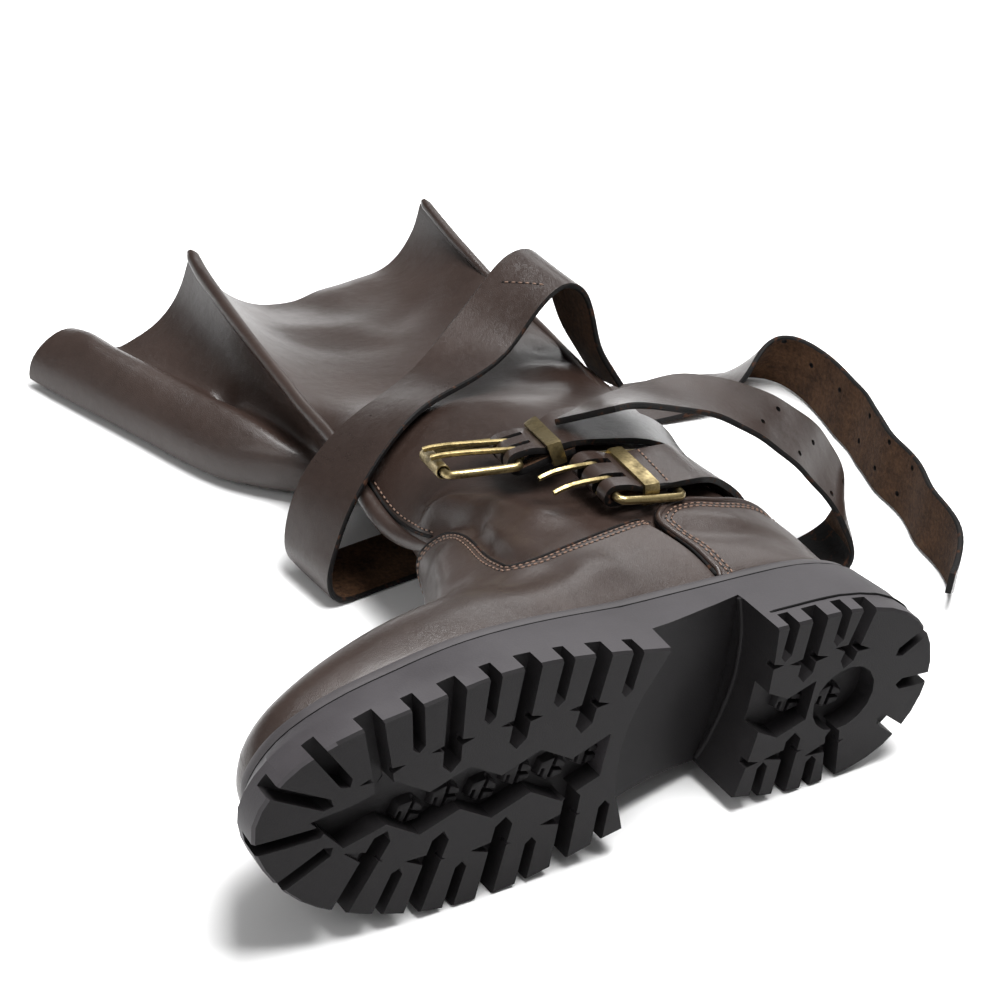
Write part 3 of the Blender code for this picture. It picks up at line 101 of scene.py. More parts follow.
# Soft creases: the line, the way the leather moves, how far, and how wide the crease is.
CREASE_STEP = 0.001
CREASES = [
    ([(-0.0343, -0.0533, 0.0604), (-0.0396, -0.0668, 0.0646), (-0.0432, -0.0790, 0.0688),
      (-0.0420, -0.0862, 0.0724)], (-0.33, 0.41, 0.85), -0.0040, 0.0046),
    ([(-0.0625, -0.0985, 0.0795), (-0.0620, -0.1065, 0.0832), (-0.0565, -0.1079, 0.0833),
      (-0.0492, -0.1064, 0.0821), (-0.0421, -0.1051, 0.0811)], (0.00, 0.30, 0.95), -0.0020, 0.0080),
    ([(-0.0258, -0.0299, 0.0546), (-0.0209, -0.0383, 0.0594), (-0.0185, -0.0506, 0.0650),
      (-0.0187, -0.0666, 0.0705)], (-0.17, 0.34, 0.92), 0.0032, 0.0080),
    ([(-0.0506, -0.0610, 0.0585), (-0.0607, -0.0781, 0.0626)], (-0.66, 0.50, 0.57), 0.0030, 0.0090),
    ([(-0.0360, -0.0352, 0.0513), (-0.0340, -0.0417, 0.0562), (-0.0330, -0.0496, 0.0611)],
     (-0.50, 0.42, 0.75), -0.0030, 0.0034),
    ([(-0.0338, -0.0265, 0.0479), (-0.0289, -0.0316, 0.0536), (-0.0274, -0.0435, 0.0601)],
     (-0.50, 0.28, 0.80), 0.0022, 0.0034),
    ([(-0.0659, -0.1209, 0.0860), (-0.0440, -0.1135, 0.0819), (-0.0232, -0.1079, 0.0788)],
     (0.15, -0.02, 0.98), 0.0011, 0.0070),
    ([(0.0230, -0.0995, 0.0742), (0.0301, -0.1020, 0.0729), (0.0411, -0.1050, 0.0707),
      (0.0527, -0.1076, 0.0673)], (0.18, -0.06, 0.98), -0.0013, 0.0060),
    ([(0.0250, -0.0924, 0.0740), (0.0316, -0.0941, 0.0731), (0.0428, -0.0969, 0.0708)],
     (0.15, -0.03, 0.98), 0.0008, 0.0050),
    ([(0.0788, 0.0526, 0.0380), (0.0721, 0.0559, 0.0386)], (0.12, 0.05, 0.99), -0.0030, 0.0055),
    ([(0.0679, 0.0377, 0.0414), (0.0587, 0.0434, 0.0404)], (-0.03, 0.20, 0.98), 0.0022, 0.0050),
    ([(-0.0600, 0.1480, 0.0205), (-0.0590, 0.1390, 0.0210), (-0.0510, 0.1215, 0.0205),
      (-0.0430, 0.1005, 0.0205), (-0.0360, 0.0790, 0.0220), (-0.0290, 0.0630, 0.0208)],
     (-0.35, -0.12, 0.93), 0.0048, 0.0090),
    ([(-0.0450, 0.1560, 0.0125), (-0.0440, 0.1450, 0.0135), (-0.0375, 0.1270, 0.0158),
      (-0.0335, 0.1030, 0.0197)], (-0.10, 0.05, 0.99), -0.0040, 0.0060),
    ([(-0.0335, 0.1030, 0.0197), (-0.0300, 0.0800, 0.0238), (-0.0270, 0.0640, 0.0240)],
     (-0.30, 0.00, 0.95), -0.0055, 0.0055),
    ([(-0.0730, 0.1450, 0.0080), (-0.0620, 0.1490, 0.0190)], (-0.45, 0.89, 0.00), 0.0032, 0.0180),
    ([(-0.0313, -0.0208, 0.0481), (-0.0316, -0.0299, 0.0516), (-0.0268, -0.0330, 0.0552),
      (-0.0232, -0.0404, 0.0598), (-0.0231, -0.0542, 0.0658)], (-0.40, 0.30, 0.86), 0.0013, 0.0028),
    ([(-0.0345, -0.0345, 0.0520), (-0.0300, -0.0385, 0.0570), (-0.0280, -0.0480, 0.0625)],
     (-0.40, 0.35, 0.85), -0.0013, 0.0026),
    ([(-0.0371, -0.0445, 0.0561), (-0.0327, -0.0508, 0.0618), (-0.0340, -0.0649, 0.0677)],
     (-0.35, 0.40, 0.85), 0.0012, 0.0028),
    ([(-0.0395, -0.0660, 0.0660), (-0.0406, -0.0703, 0.0678), (-0.0417, -0.0800, 0.0717)],
     (-0.30, 0.38, 0.88), -0.0012, 0.0028),
    ([(0.0135, 0.1250, 0.0209), (0.0297, 0.1192, 0.0210)], (0.00, 0.30, 0.95), 0.0012, 0.0100),
    ([(0.0454, 0.1116, 0.0241), (0.0652, 0.1221, 0.0224)], (0.00, 0.30, 0.95), -0.0015, 0.0090),
    ([(0.0110, 0.1082, 0.0253), (0.0290, 0.0968, 0.0274)], (0.00, 0.25, 0.97), -0.0010, 0.0100),
    ([(0.0474, 0.1514, 0.0108), (0.0600, 0.1522, 0.0109)], (0.00, 0.75, 0.65), 0.0030, 0.0120),
    ([(0.0200, 0.1524, 0.0130), (0.0318, 0.1519, 0.0114)], (0.00, 0.75, 0.65), -0.0016, 0.0120),
]

# Beads of turned leather down the front and back of the shaft: places and radii.
FRONT_BEAD = [
    ((-0.0178, 0.1568, 0.0449), 0.0010), ((-0.0178, 0.1545, 0.0442), 0.0024),
    ((-0.0190, 0.1446, 0.0418), 0.0026), ((-0.0214, 0.1270, 0.0410), 0.0026),
    ((-0.0236, 0.1091, 0.0404), 0.0026), ((-0.0256, 0.0925, 0.0402), 0.0025),
    ((-0.0273, 0.0761, 0.0399), 0.0025), ((-0.0293, 0.0600, 0.0397), 0.0024),
    ((-0.0300, 0.0461, 0.0396), 0.0024), ((-0.0318, 0.0330, 0.0399), 0.0023),
    ((-0.0345, 0.0191, 0.0380), 0.0027), ((-0.0362, 0.0078, 0.0366), 0.0032),
    ((-0.0374, -0.0020, 0.0356), 0.0035), ((-0.0381, -0.0110, 0.0354), 0.0035),
    ((-0.0384, -0.0195, 0.0368), 0.0031), ((-0.0387, -0.0280, 0.0398), 0.0024),
    ((-0.0394, -0.0360, 0.0440), 0.0012),
]
BACK_BEAD = [
    ((0.0866, 0.1562, 0.0416), 0.0009), ((0.0866, 0.1540, 0.0408), 0.0019),
    ((0.0868, 0.1360, 0.0372), 0.0020), ((0.0872, 0.1230, 0.0352), 0.0019),
    ((0.0885, 0.1042, 0.0318), 0.0018), ((0.0868, 0.0800, 0.0332), 0.0016),
    ((0.0846, 0.0596, 0.0344), 0.0015), ((0.0800, 0.0400, 0.0382), 0.0014),
    ((0.0738, 0.0205, 0.0424), 0.0011),
]

# Sewn lines on the straps and beside the front bead, and the bead's raw edge.
JOIN_LINE = [(0.0495, 0.0551, 0.0748), (0.0540, 0.0490, 0.0770), (0.0590, 0.0428, 0.0784)]
KEEPER_LINE = [(0.0280, -0.0575, 0.0795), (0.0267, -0.0680, 0.0802), (0.0250, -0.0796, 0.0811)]
FRONT_LINE = [
    (-0.0329, 0.0084, 0.0412), (-0.0340, -0.0014, 0.0402), (-0.0346, -0.0104, 0.0402),
    (-0.0350, -0.0189, 0.0418), (-0.0354, -0.0274, 0.0446), (-0.0362, -0.0340, 0.0474),
]
FRONT_EDGE = [
    (-0.0335, 0.0130, 0.0404), (-0.0341, 0.0078, 0.0398), (-0.0352, -0.0020, 0.0388),
    (-0.0358, -0.0110, 0.0388), (-0.0362, -0.0195, 0.0404), (-0.0366, -0.0280, 0.0432),
    (-0.0374, -0.0350, 0.0462),
]
FRONT_EDGE_RADIUS = 0.0007

# Soft waves in the loose straps, written as the creases are.
STRAP_WAVES = {
    "rear_strap": [
        ([(0.1485, -0.0894, 0.0233), (0.1505, -0.0865, 0.0029)], (0.82, -0.56, 0.00),
         0.0080, 0.0280),
        ([(0.1726, -0.0278, 0.0020), (0.1726, -0.0278, 0.0280)], (-0.98, 0.20, 0.05),
         0.0011, 0.0080),
        ([(0.1684, -0.0455, 0.0020), (0.1684, -0.0455, 0.0280)], (-0.95, 0.30, 0.05),
         -0.0014, 0.0100),
        ([(0.1776, -0.0028, 0.0020), (0.1776, -0.0028, 0.0280)], (-0.97, 0.23, 0.10),
         -0.0013, 0.0075),
        ([(0.1625, -0.0620, 0.0020), (0.1625, -0.0620, 0.0280)], (-0.92, 0.38, 0.05),
         0.0012, 0.0085),
    ],
    "strap_tail": [
        ([(0.1211, -0.0658, 0.0160), (0.1240, -0.0620, 0.0100)], (0.82, -0.56, 0.12),
         0.0055, 0.0200),
        ([(0.1076, -0.0364, 0.0596), (0.0954, -0.0431, 0.0617)], (0.44, -0.46, 0.77),
         0.0016, 0.0080),
        ([(0.1290, -0.0440, 0.0400), (0.1160, -0.0540, 0.0420)], (0.50, -0.60, 0.62),
         -0.0016, 0.0080),
    ],
}

# Punched holes: a point on the strap and the way through it.
HOLE_RADIUS = 0.0011
HOLE_SIDES = 14
PIN_LONG = 0.012
HOLES = {
    "rear_strap": [
        ((0.1760, 0.0400, 0.0243), (-0.53, -0.81, -0.26)),
        ((0.1822, 0.0291, 0.0185), (-0.97, -0.20, -0.10)),
        ((0.1813, 0.0105, 0.0190), (-0.99, 0.13, 0.05)),
        ((0.1767, -0.0123, 0.0228), (-0.98, 0.17, 0.08)),
        ((0.1762, -0.0091, 0.0096), (-0.98, 0.17, 0.08)),
        ((0.1728, -0.0305, 0.0238), (-0.98, 0.21, 0.05)),
        ((0.1731, -0.0256, 0.0089), (-0.98, 0.21, 0.05)),
        ((0.1692, -0.0456, 0.0228), (-0.95, 0.30, 0.05)),
        ((0.1697, -0.0406, 0.0078), (-0.97, 0.24, 0.05)),
    ],
    "strap_tail": [
        ((0.1076, -0.0364, 0.0596), (0.44, -0.46, 0.77)),
        ((0.0954, -0.0431, 0.0617), (0.45, -0.39, 0.80)),
        ((0.1214, -0.0446, 0.0474), (0.39, -0.59, 0.71)),
        ((0.1101, -0.0506, 0.0497), (0.48, -0.52, 0.70)),
        ((0.1350, -0.0480, 0.0281), (0.68, -0.72, 0.15)),
        ((0.1209, -0.0574, 0.0331), (0.56, -0.70, 0.44)),
        ((0.1214, -0.0655, 0.0179), (-0.47, -0.86, 0.23)),
    ],
}

# Tread: barbs across the long grooves (x, z, turn).
TREAD_Y = -0.1594
BARBS = [
    (-0.1413, 0.0662, -1.320), (-0.1445, 0.0338, 1.124), (-0.1158, 0.0707, -1.512),
    (-0.1203, 0.0252, 1.316), (-0.0892, 0.0717, -1.634), (-0.0942, 0.0215, 1.438),
    (-0.0622, 0.0686, -1.721), (-0.0667, 0.0236, 1.525), (0.0302, 0.0576, -1.669),
    (0.0264, 0.0189, 1.473), (0.0489, 0.0568, -1.878), (0.0449, 0.0158, 1.682),
    (0.0110, 0.0600, -1.669), (0.0078, 0.0200, 1.473),
]
BARB_LONG = 0.0084
BARB_WIDE = 0.0021
BARB_DEEP = 0.0036
# Star lugs in the channels (x, z, turn), their taper, and their slots' sizes and places.
STARS = [
    (-0.1265, 0.0440, 0.35), (-0.1125, 0.0455, 0.20), (-0.0975, 0.0430, 0.35),
    (-0.0840, 0.0450, 0.20), (-0.0700, 0.0425, 0.30), (-0.0565, 0.0440, 0.20),
    (0.0285, 0.0378, 0.25), (0.0462, 0.0342, 0.25),
]
STAR_SIDES = 6
STAR_RADIUS = 0.0070
STAR_FLOOR = -0.1516
STAR_HIGH = 0.0062
STAR_TAPER = (0.86, 0.62, 1.0)
STAR_SLOTS = [
    ((0.0014, 0.0200, 0.0044), (0.0004, 0.0, STAR_HIGH)),
    ((0.0060, 0.0014, 0.0044), (0.0034, 0.0, STAR_HIGH)),
    ((0.0014, 0.0060, 0.0040), (-0.0034, -0.0030, STAR_HIGH)),
]
STAR_TOP_FACING = 0.9
STAR_BEVEL = 0.00025
STAR_BEVEL_ANGLE = math.radians(40)
LUG_BEVEL = 0.0005
LUG_BEVEL_ANGLE = math.radians(35)
FLAT_ANGLE = math.radians(1.0)

# The rib in the corner of waist and heel, and the moulding lines, laid as near-black beads of
# painted groove shadow.
BREAST_RIB = [
    (0.0132, -0.1385, 0.0750), (0.0136, -0.1392, 0.0727), (0.0141, -0.1413, 0.0640),
    (0.0143, -0.1421, 0.0532), (0.0137, -0.1422, 0.0421), (0.0122, -0.1410, 0.0298),
    (0.0098, -0.1394, 0.0175), (0.0075, -0.1376, 0.0088),
]
RIB_RADIUS = 0.0010
LINE_RADIUS = 0.00050
LINE_PROUD = 0.0004
HEEL_LINE_Y = -0.1499
HEEL_START_X = 0.0185
# Side wall of the sole, given lighter rubber as painted light from above: faces that look outwards,
# with nothing opposite, bar the heel's breast.
WALL_START = 0.001
WALL_LOW = -0.6
WALL_HIGH = 0.8
WALL_CLEAR = 0.030
BREAST_FACING = -0.7
WAIST_X = -0.050
WELT_TOP_FACING = 0.6
WELT_RISE = 0.0012
WELT_POINT = (-0.0846, -0.1350, 0.0902)

# Edges and seams of the overlays: beads, clearances, and how leather is tucked under them.
BEAD_STEP = 0.0015
BEAD_ROUND = 3
EDGE_STEP = 0.003
EDGE_RADIUS = 0.0005
PIPING_RADIUS = 0.0011
PIPING_INSET = 0.0012
CLEAR_OF_WELT = 0.006
CLEAR_OF_COUNTER = 0.004
SEAM_CLEAR = 0.0008
SEAM_REACH = 0.0065
SEAM_END = 3
LEVEL_RIM = 0.75
TUCK_REACH = 0.005
TUCK_DEPTH = 0.0014
TUCK_OFF = 0.0004

# Stitches, and the dark pinholes between them as drops of painted shade: length, width and height.
THREAD_PITCH = 0.0026
THREAD_SIZE = (0.00165, 0.00062, 0.00062)
THREAD_RISE = 0.00013
PINHOLE_SHADE_SIZE = (0.00145, 0.00085, 0.00030)
STITCH_SIDES = 6
STITCH_RINGS = 5
SEAM_ROWS = (0.0014, 0.0032)

# Studio: lights by name, with place, aim, size and power, and the photo's camera.
FLOOR_SIZE = 8.0
WORLD_STRENGTH = 0.28
LIGHTS = {
    "overhead": ((0.15, -0.10, 1.6), (0.0, 0.0, 0.0), (1.0, 0.8), 62.0),
    "front": ((-1.5, -0.55, 1.25), (0.0, 0.0, 0.05), (0.7, 0.7), 7.0),
    "back": ((1.36, 1.10, 1.02), (0.0, 0.0, 0.05), (0.8, 0.7), 7.5),
}
CAMERA_PLACE = (-0.94745, -1.18144, 1.07703)
CAMERA_TURNS = (55.0725, -7.043, -34.3677)
CAMERA_SENSOR = 36.0
CAMERA_LENS = 187.5845


class Shade:
    """A value that changes over a surface; arithmetic on it adds Math nodes."""

    def __init__(self, finish, socket):
        self.finish = finish
        self.socket = socket

    def maths(self, operation, first, second):
        return self.finish.node("ShaderNodeMath", {"operation": operation}, {0: first, 1: second})

    def __add__(self, other):
        return self.maths("ADD", self, other)

    def __radd__(self, other):
        return self.maths("ADD", other, self)

    def __sub__(self, other):
        return self.maths("SUBTRACT", self, other)

    def __rsub__(self, other):
        return self.maths("SUBTRACT", other, self)

    def __mul__(self, other):
        return self.maths("MULTIPLY", self, other)

    def __rmul__(self, other):
        return self.maths("MULTIPLY", other, self)


class Finish:
    """One material, made node by node."""

    def __init__(self, name, **fixed):
        self.material = bpy.data.materials.new(name)
        self.material.use_nodes = True
        self.tree = self.material.node_tree
        self.shader = self.tree.nodes["Principled BSDF"]
        for socket, value in fixed.items():
            self.shader.inputs[socket.replace("_", " ")].default_value = value
        self.place = self.node("ShaderNodeTexCoord", outlet="Object")

    def feed(self, socket, value):
        if isinstance(value, Shade):
            self.tree.links.new(value.socket, socket)
        else:
            socket.default_value = value

    def node(self, kind, settings=None, sockets=None, outlet=0):
        made = self.tree.nodes.new(kind)
        for key, value in (settings or {}).items():
            setattr(made, key, value)
        for key, value in (sockets or {}).items():
            self.feed(made.inputs[key], value)
        return Shade(self, made.outputs[outlet])

    def noise(self, scale, detail=3.0, rough=0.5):
        sockets = {"Vector": self.place, "Scale": scale, "Detail": detail, "Roughness": rough}
        return self.node("ShaderNodeTexNoise", None, sockets)

    def cells(self, scale):
        settings = {"feature": "DISTANCE_TO_EDGE"}
        sockets = {"Vector": self.place, "Scale": scale}
        return self.node("ShaderNodeTexVoronoi", settings, sockets, "Distance")

    def span(self, value, low, high):
        sockets = {"Value": value, "From Min": low, "From Max": high}
        return self.node("ShaderNodeMapRange", None, sockets)

    def mix(self, factor, first, second):
        sockets = {0: factor, 6: first, 7: second}
        return self.node("ShaderNodeMix", {"data_type": "RGBA"}, sockets, 2)

    def bump(self, height, distance, strength, under=None):
        sockets = {"Height": height, "Distance": distance, "Strength": strength}
        if under:
            sockets["Normal"] = under
        return self.node("ShaderNodeBump", None, sockets)

    def give(self, socket, value):
        self.feed(self.shader.inputs[socket], value)


def tone(red, green, blue):
    return (red, green, blue, 1.0)


def leather(name, dark, light, rough, grain):
    finish = Finish(name, Specular_IOR_Level=0.32, Coat_Weight=0.22, Coat_Roughness=0.24)
    cloudy = finish.noise(scale=22.0, rough=0.55)
    fine = finish.noise(scale=420.0, detail=2.0)
    shade = finish.span(cloudy * 0.75 + fine * 0.25, low=0.32, high=0.68)
    finish.give("Base Color", finish.mix(shade, dark, light))
    finish.give("Roughness", rough + (cloudy - 0.5) * 0.22 + (fine - 0.5) * 0.10)
    pebbles = finish.span(finish.cells(scale=1900.0), low=0.0, high=0.28)
    wrinkles = finish.noise(scale=260.0, detail=4.0, rough=0.6)
    wavy = finish.bump(finish.noise(scale=75.0), distance=0.0012, strength=0.40)
    wrinkled = finish.bump(wrinkles, distance=0.0004, strength=0.28, under=wavy)
    pores = pebbles * 0.7 + fine * 0.3
    finish.give("Normal", finish.bump(pores, distance=grain, strength=0.40, under=wrinkled))
    return finish.material


def suede(name, dark, light):
    finish = Finish(name, Roughness=0.95, Specular_IOR_Level=0.1, Sheen_Weight=0.02,
                    Sheen_Roughness=0.5)
    nap = finish.noise(scale=650.0, detail=5.0, rough=0.75)
    patches = finish.noise(scale=90.0, detail=4.0, rough=0.65)
    shade = finish.span(nap * 0.6 + patches * 0.4, low=0.38, high=0.64)
    finish.give("Base Color", finish.mix(shade, dark, light))
    finish.give("Normal", finish.bump(nap, distance=0.0006, strength=0.8))
    return finish.material


def cut_edge(name, dark, fuzz):
    finish = Finish(name, Specular_IOR_Level=0.15)
    worn = finish.span(finish.noise(scale=240.0, detail=4.0, rough=0.65), low=0.56, high=0.66)
    fibres = finish.noise(scale=700.0, detail=4.0, rough=0.6)
    finish.give("Base Color", finish.mix(worn * 0.7, dark, fuzz))
    finish.give("Roughness", 0.65 + worn * 0.25)
    finish.give("Normal", finish.bump(fibres, distance=0.0004, strength=0.5))
    return finish.material


def rubber(name, dark, light, rough, gloss):
    finish = Finish(name, Specular_IOR_Level=gloss)
    cloudy = finish.noise(scale=30.0, detail=4.0, rough=0.6)
    speck = finish.noise(scale=1500.0, detail=2.0)
    shade = finish.span(cloudy * 0.8 + speck * 0.2, low=0.35, high=0.65)
    finish.give("Base Color", finish.mix(shade, dark, light))
    finish.give("Roughness", rough + (cloudy - 0.5) * 0.2)
    finish.give("Normal", finish.bump(speck, distance=0.00012, strength=0.5))
    return finish.material


def aged_brass(name, bright, tarnish):
    finish = Finish(name, Metallic=1.0)
    cloudy = finish.noise(scale=140.0, detail=4.0, rough=0.6)
    fine = finish.noise(scale=900.0)
    dull = finish.span(cloudy * 0.7 + fine * 0.3, low=0.42, high=0.62)
    finish.give("Base Color", finish.mix(dull, bright, tarnish))
    finish.give("Roughness", 0.30 + dull * 0.20)
    finish.give("Normal", finish.bump(fine, distance=0.0001, strength=0.4))
    return finish.material


def thread(name, dark, light):
    finish = Finish(name, Roughness=0.6, Specular_IOR_Level=0.35)
    twist = finish.noise(scale=3500.0, detail=2.0)
    finish.give("Base Color", finish.mix(finish.noise(scale=800.0), dark, light))
    finish.give("Normal", finish.bump(twist, distance=0.0002, strength=0.5))
    return finish.material


def board(name, dark, light):
    finish = Finish(name, Specular_IOR_Level=0.3)
    cloudy = finish.noise(scale=45.0, detail=4.0, rough=0.6)
    fibre = finish.noise(scale=1100.0)
    finish.give("Base Color", finish.mix(cloudy * 0.6 + fibre * 0.4, dark, light))
    finish.give("Roughness", 0.7 + (cloudy - 0.5) * 0.2)
    finish.give("Normal", finish.bump(fibre, distance=0.0003, strength=0.5))
    return finish.material


BROWN = leather("brown_leather", tone(0.0165, 0.0096, 0.0074), tone(0.028, 0.0170, 0.0134),
                rough=0.37, grain=0.00016)
LINING = leather("shaft_lining", tone(0.021, 0.0130, 0.0104), tone(0.033, 0.0210, 0.0168),
                 rough=0.46, grain=0.00012)
STRAP = leather("strap_leather", tone(0.0155, 0.0090, 0.0070), tone(0.026, 0.0158, 0.0125),
                rough=0.33, grain=0.00016)
SUEDE = suede("strap_suede", tone(0.014, 0.0064, 0.0032), tone(0.067, 0.0335, 0.0165))
EDGE = cut_edge("strap_edge", tone(0.0035, 0.0030, 0.0030), tone(0.060, 0.026, 0.014))
RUBBER = rubber("black_rubber", tone(0.0085, 0.0077, 0.0083), tone(0.0135, 0.0124, 0.0132),
                rough=0.60, gloss=0.13)
# A lighter, greyer copy of the black rubber: painted light on the side wall, which faces the
# overhead lamp.
LIT_WALL_RUBBER = rubber("wall_rubber_painted_light", tone(0.0260, 0.0232, 0.0256), tone(0.0375, 0.0340, 0.0370),
                     rough=0.55, gloss=0.30)
GREY_RUBBER = rubber("grey_rubber", tone(0.030, 0.0270, 0.0285), tone(0.048, 0.0436, 0.0460),
                     rough=0.50, gloss=0.32)
# Near-black, darker than the rubber itself: painted shadow for the thin grooves of the moulding
# lines.
GROOVE_SHADOW_LINE = rubber("groove_shadow_line", tone(0.0015, 0.0014, 0.0015), tone(0.0025, 0.0023, 0.0025),
                    rough=0.7, gloss=0.1)
BRASS = aged_brass("antique_brass", tone(0.37, 0.293, 0.145), tone(0.125, 0.097, 0.046))
THREAD = thread("tan_thread", tone(0.105, 0.062, 0.044), tone(0.215, 0.135, 0.098))
BOARD = board("insole_board", tone(0.15, 0.095, 0.06), tone(0.24, 0.16, 0.11))


def pick(piece):
    bpy.ops.object.select_all(action="DESELECT")
    piece.select_set(True)
    bpy.context.view_layer.objects.active = piece


def start_edit(kind, action):
    bpy.ops.object.mode_set(mode="EDIT")
    bpy.ops.mesh.select_mode(type=kind)
    bpy.ops.mesh.select_all(action=action)


def end_edit():
    bpy.ops.object.mode_set(mode="OBJECT")


def apply(piece, kind, **settings):
    pick(piece)
    made = piece.modifiers.new(kind.lower(), kind)
    for key, value in settings.items():
        setattr(made, key, value)
    bpy.ops.object.modifier_apply(modifier=made.name)


def linked(name, data):
    """A new object in the scene, at the origin."""
    piece = bpy.data.objects.new(name, data)
    bpy.context.scene.collection.objects.link(piece)
    return piece


def welded(node, name):
    """A new piece with a solid's shape, its loose triangles joined to quads."""
    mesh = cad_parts[node].data.copy()
    mesh.materials.clear()
    piece = linked(name, mesh)
    pick(piece)
    start_edit("VERT", "SELECT")
    bpy.ops.mesh.customdata_custom_splitnormals_clear()
    bpy.ops.mesh.remove_doubles(threshold=WELD)
    bpy.ops.mesh.tris_convert_to_quads(face_threshold=QUAD_ANGLE, shape_threshold=QUAD_ANGLE)
    end_edit()
    return piece


def hold_rims(piece, crease):
    """Marks the sharp edges and holds them when the piece is smoothed."""
    pick(piece)
    start_edit("EDGE", "DESELECT")
    bpy.ops.mesh.edges_select_sharp(sharpness=RIM_ANGLE)
    bpy.ops.mesh.mark_sharp()
    bpy.ops.transform.edge_crease(value=crease)
    end_edit()


def paint(piece, *finishes):
    piece.data.materials.clear()
    for finish in finishes:
        piece.data.materials.append(finish)


def smooth(piece, levels):
    if levels:
        apply(piece, "SUBSURF", levels=levels, render_levels=levels)
    pick(piece)
    bpy.ops.object.shade_smooth_by_angle(angle=SMOOTH_ANGLE)


def place(piece, body, slot, *nodes):
    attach(piece, body)
    if nodes:
        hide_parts(*nodes)
    return piece


def joined(pieces, into):
    """Several objects as one of them."""
    pick(into)
    for piece in pieces:
        piece.select_set(True)
    bpy.ops.object.join()
    return bpy.context.active_object


def cut_away(piece, cutter):
    """Takes a cutter's shape out of a piece."""
    apply(piece, "BOOLEAN", object=cutter, operation="DIFFERENCE", solver="EXACT")
    bpy.data.objects.remove(cutter)


def sides_of(piece):
    """The piece's shape, and a group number for each face between sharp edges."""
    shape = bmesh.new()
    shape.from_mesh(piece.data)
    shape.faces.ensure_lookup_table()
    group_of = {}
    count = 0
    for start in shape.faces:
        if start.index in group_of:
            continue
        group_of[start.index] = count
        queue = [start]
        while queue:
            for edge in queue.pop().edges:
                for other in edge.link_faces if edge.smooth else []:
                    if other.index not in group_of:
                        group_of[other.index] = count
                        queue.append(other)
        count += 1
    return shape, group_of


def nearest_group(shape, group_of, point):
    return group_of[BVHTree.FromBMesh(shape).find_nearest(Vector(point))[2]]


def paint_sides(piece, point, front, back, rim):
    """Gives the side nearest a point, the side behind it and the narrow rims their finishes."""
    shape, group_of = sides_of(piece)
    area = {}
    for face in shape.faces:
        group = group_of[face.index]
        area[group] = area.get(group, 0.0) + face.calc_area()
    near = nearest_group(shape, group_of, point)
    shape.free()
    paint(piece, front, back, rim)
    for face in piece.data.polygons:
        group = group_of[face.index]
        broad = area[group] > BROAD_SHARE * area[near]
        face.material_index = 0 if group == near else 1 if broad else 2


def side_near(piece, point):
    """The faces between sharp edges that lie nearest a point."""
    shape, group_of = sides_of(piece)
    near = nearest_group(shape, group_of, point)
    shape.free()
    return {face for face, group in group_of.items() if group == near}


def outer_side(piece):
    """The faces of the side that was painted first."""
    return {face.index for face in piece.data.polygons if face.material_index == 0}


def rim_of(piece, side):
    """Loops of places, normals and inward ways round some faces of a piece."""
    shape = bmesh.new()
    shape.from_mesh(piece.data)
    beside = {}
    for edge in shape.edges:
        if sum(face.index in side for face in edge.link_faces) == 1:
            for one, other in (edge.verts, reversed(edge.verts)):
                beside.setdefault(one, []).append(other)
    loops = []
    while beside:
        at = next(iter(beside))
        line = []
        while at is not None:
            line.append(at)
            after = beside.pop(at)
            at = next((v for v in after if v in beside), None)
        rows = []
        for k, vertex in enumerate(line):
            before, after = line[k - 1].co, line[(k + 1) % len(line)].co
            faces = [face for face in vertex.link_faces if face.index in side]
            normal = sum((face.normal for face in faces), Vector()).normalized()
            inward = sum((face.calc_center_median() - vertex.co for face in faces), Vector())
            along = (after - before).normalized()
            inward -= along * inward.dot(along)
            inward = (inward - normal * inward.dot(normal)).normalized()
            spot = (before + RIM_WEIGHT * vertex.co + after) / (RIM_WEIGHT + 2.0)
            rows.append((spot, normal, inward))
        loop = []
        for k, (spot, normal, _) in enumerate(rows):
            ways = (rows[(k + step) % len(rows)][2] for step in RIM_STEPS)
            loop.append((spot, normal, sum(ways, Vector()).normalized()))
        loops.append(loop)
    shape.free()
    return loops


def even_line(points, step):
    """The points of a smooth line, a step apart."""
    points = np.array(points, float)
    ends = np.vstack([2 * points[0] - points[1], points, 2 * points[-1] - points[-2]])
    dense = []
    for k in range(len(points) - 1):
        a, b, c, d = ends[k:k + 4]
        for t in np.linspace(0.0, 1.0, LINE_SPLITS, endpoint=False):
            bend = 2 * a - 5 * b + 4 * c - d + t * (3 * (b - c) + d - a)
            dense.append(b + 0.5 * t * (c - a + t * bend))
    dense = np.array(dense + [points[-1]])
    length = np.concatenate([[0.0], np.cumsum(np.linalg.norm(np.diff(dense, axis=0), axis=1))])
    at = np.linspace(0.0, length[-1], max(2, round(length[-1] / step) + 1))
    return np.stack([np.interp(at, length, dense[:, axis]) for axis in range(3)], axis=1)


def surface_of(*pieces, outer=False):
    """A search tree over the faces of pieces, or over the sides that were painted first."""
    spots, faces = [], []
    for piece in pieces:
        first = len(spots)
        spots += [vertex.co.copy() for vertex in piece.data.vertices]
        for face in piece.data.polygons:
            if face.material_index == 0 or not outer:
                faces.append([first + corner for corner in face.vertices])
    return BVHTree.FromPolygons(spots, faces)


def on_skin(skin, spots):
    """The places on a surface that lie nearest some spots."""
    return [skin.find_nearest(Vector(spot))[0] for spot in spots]


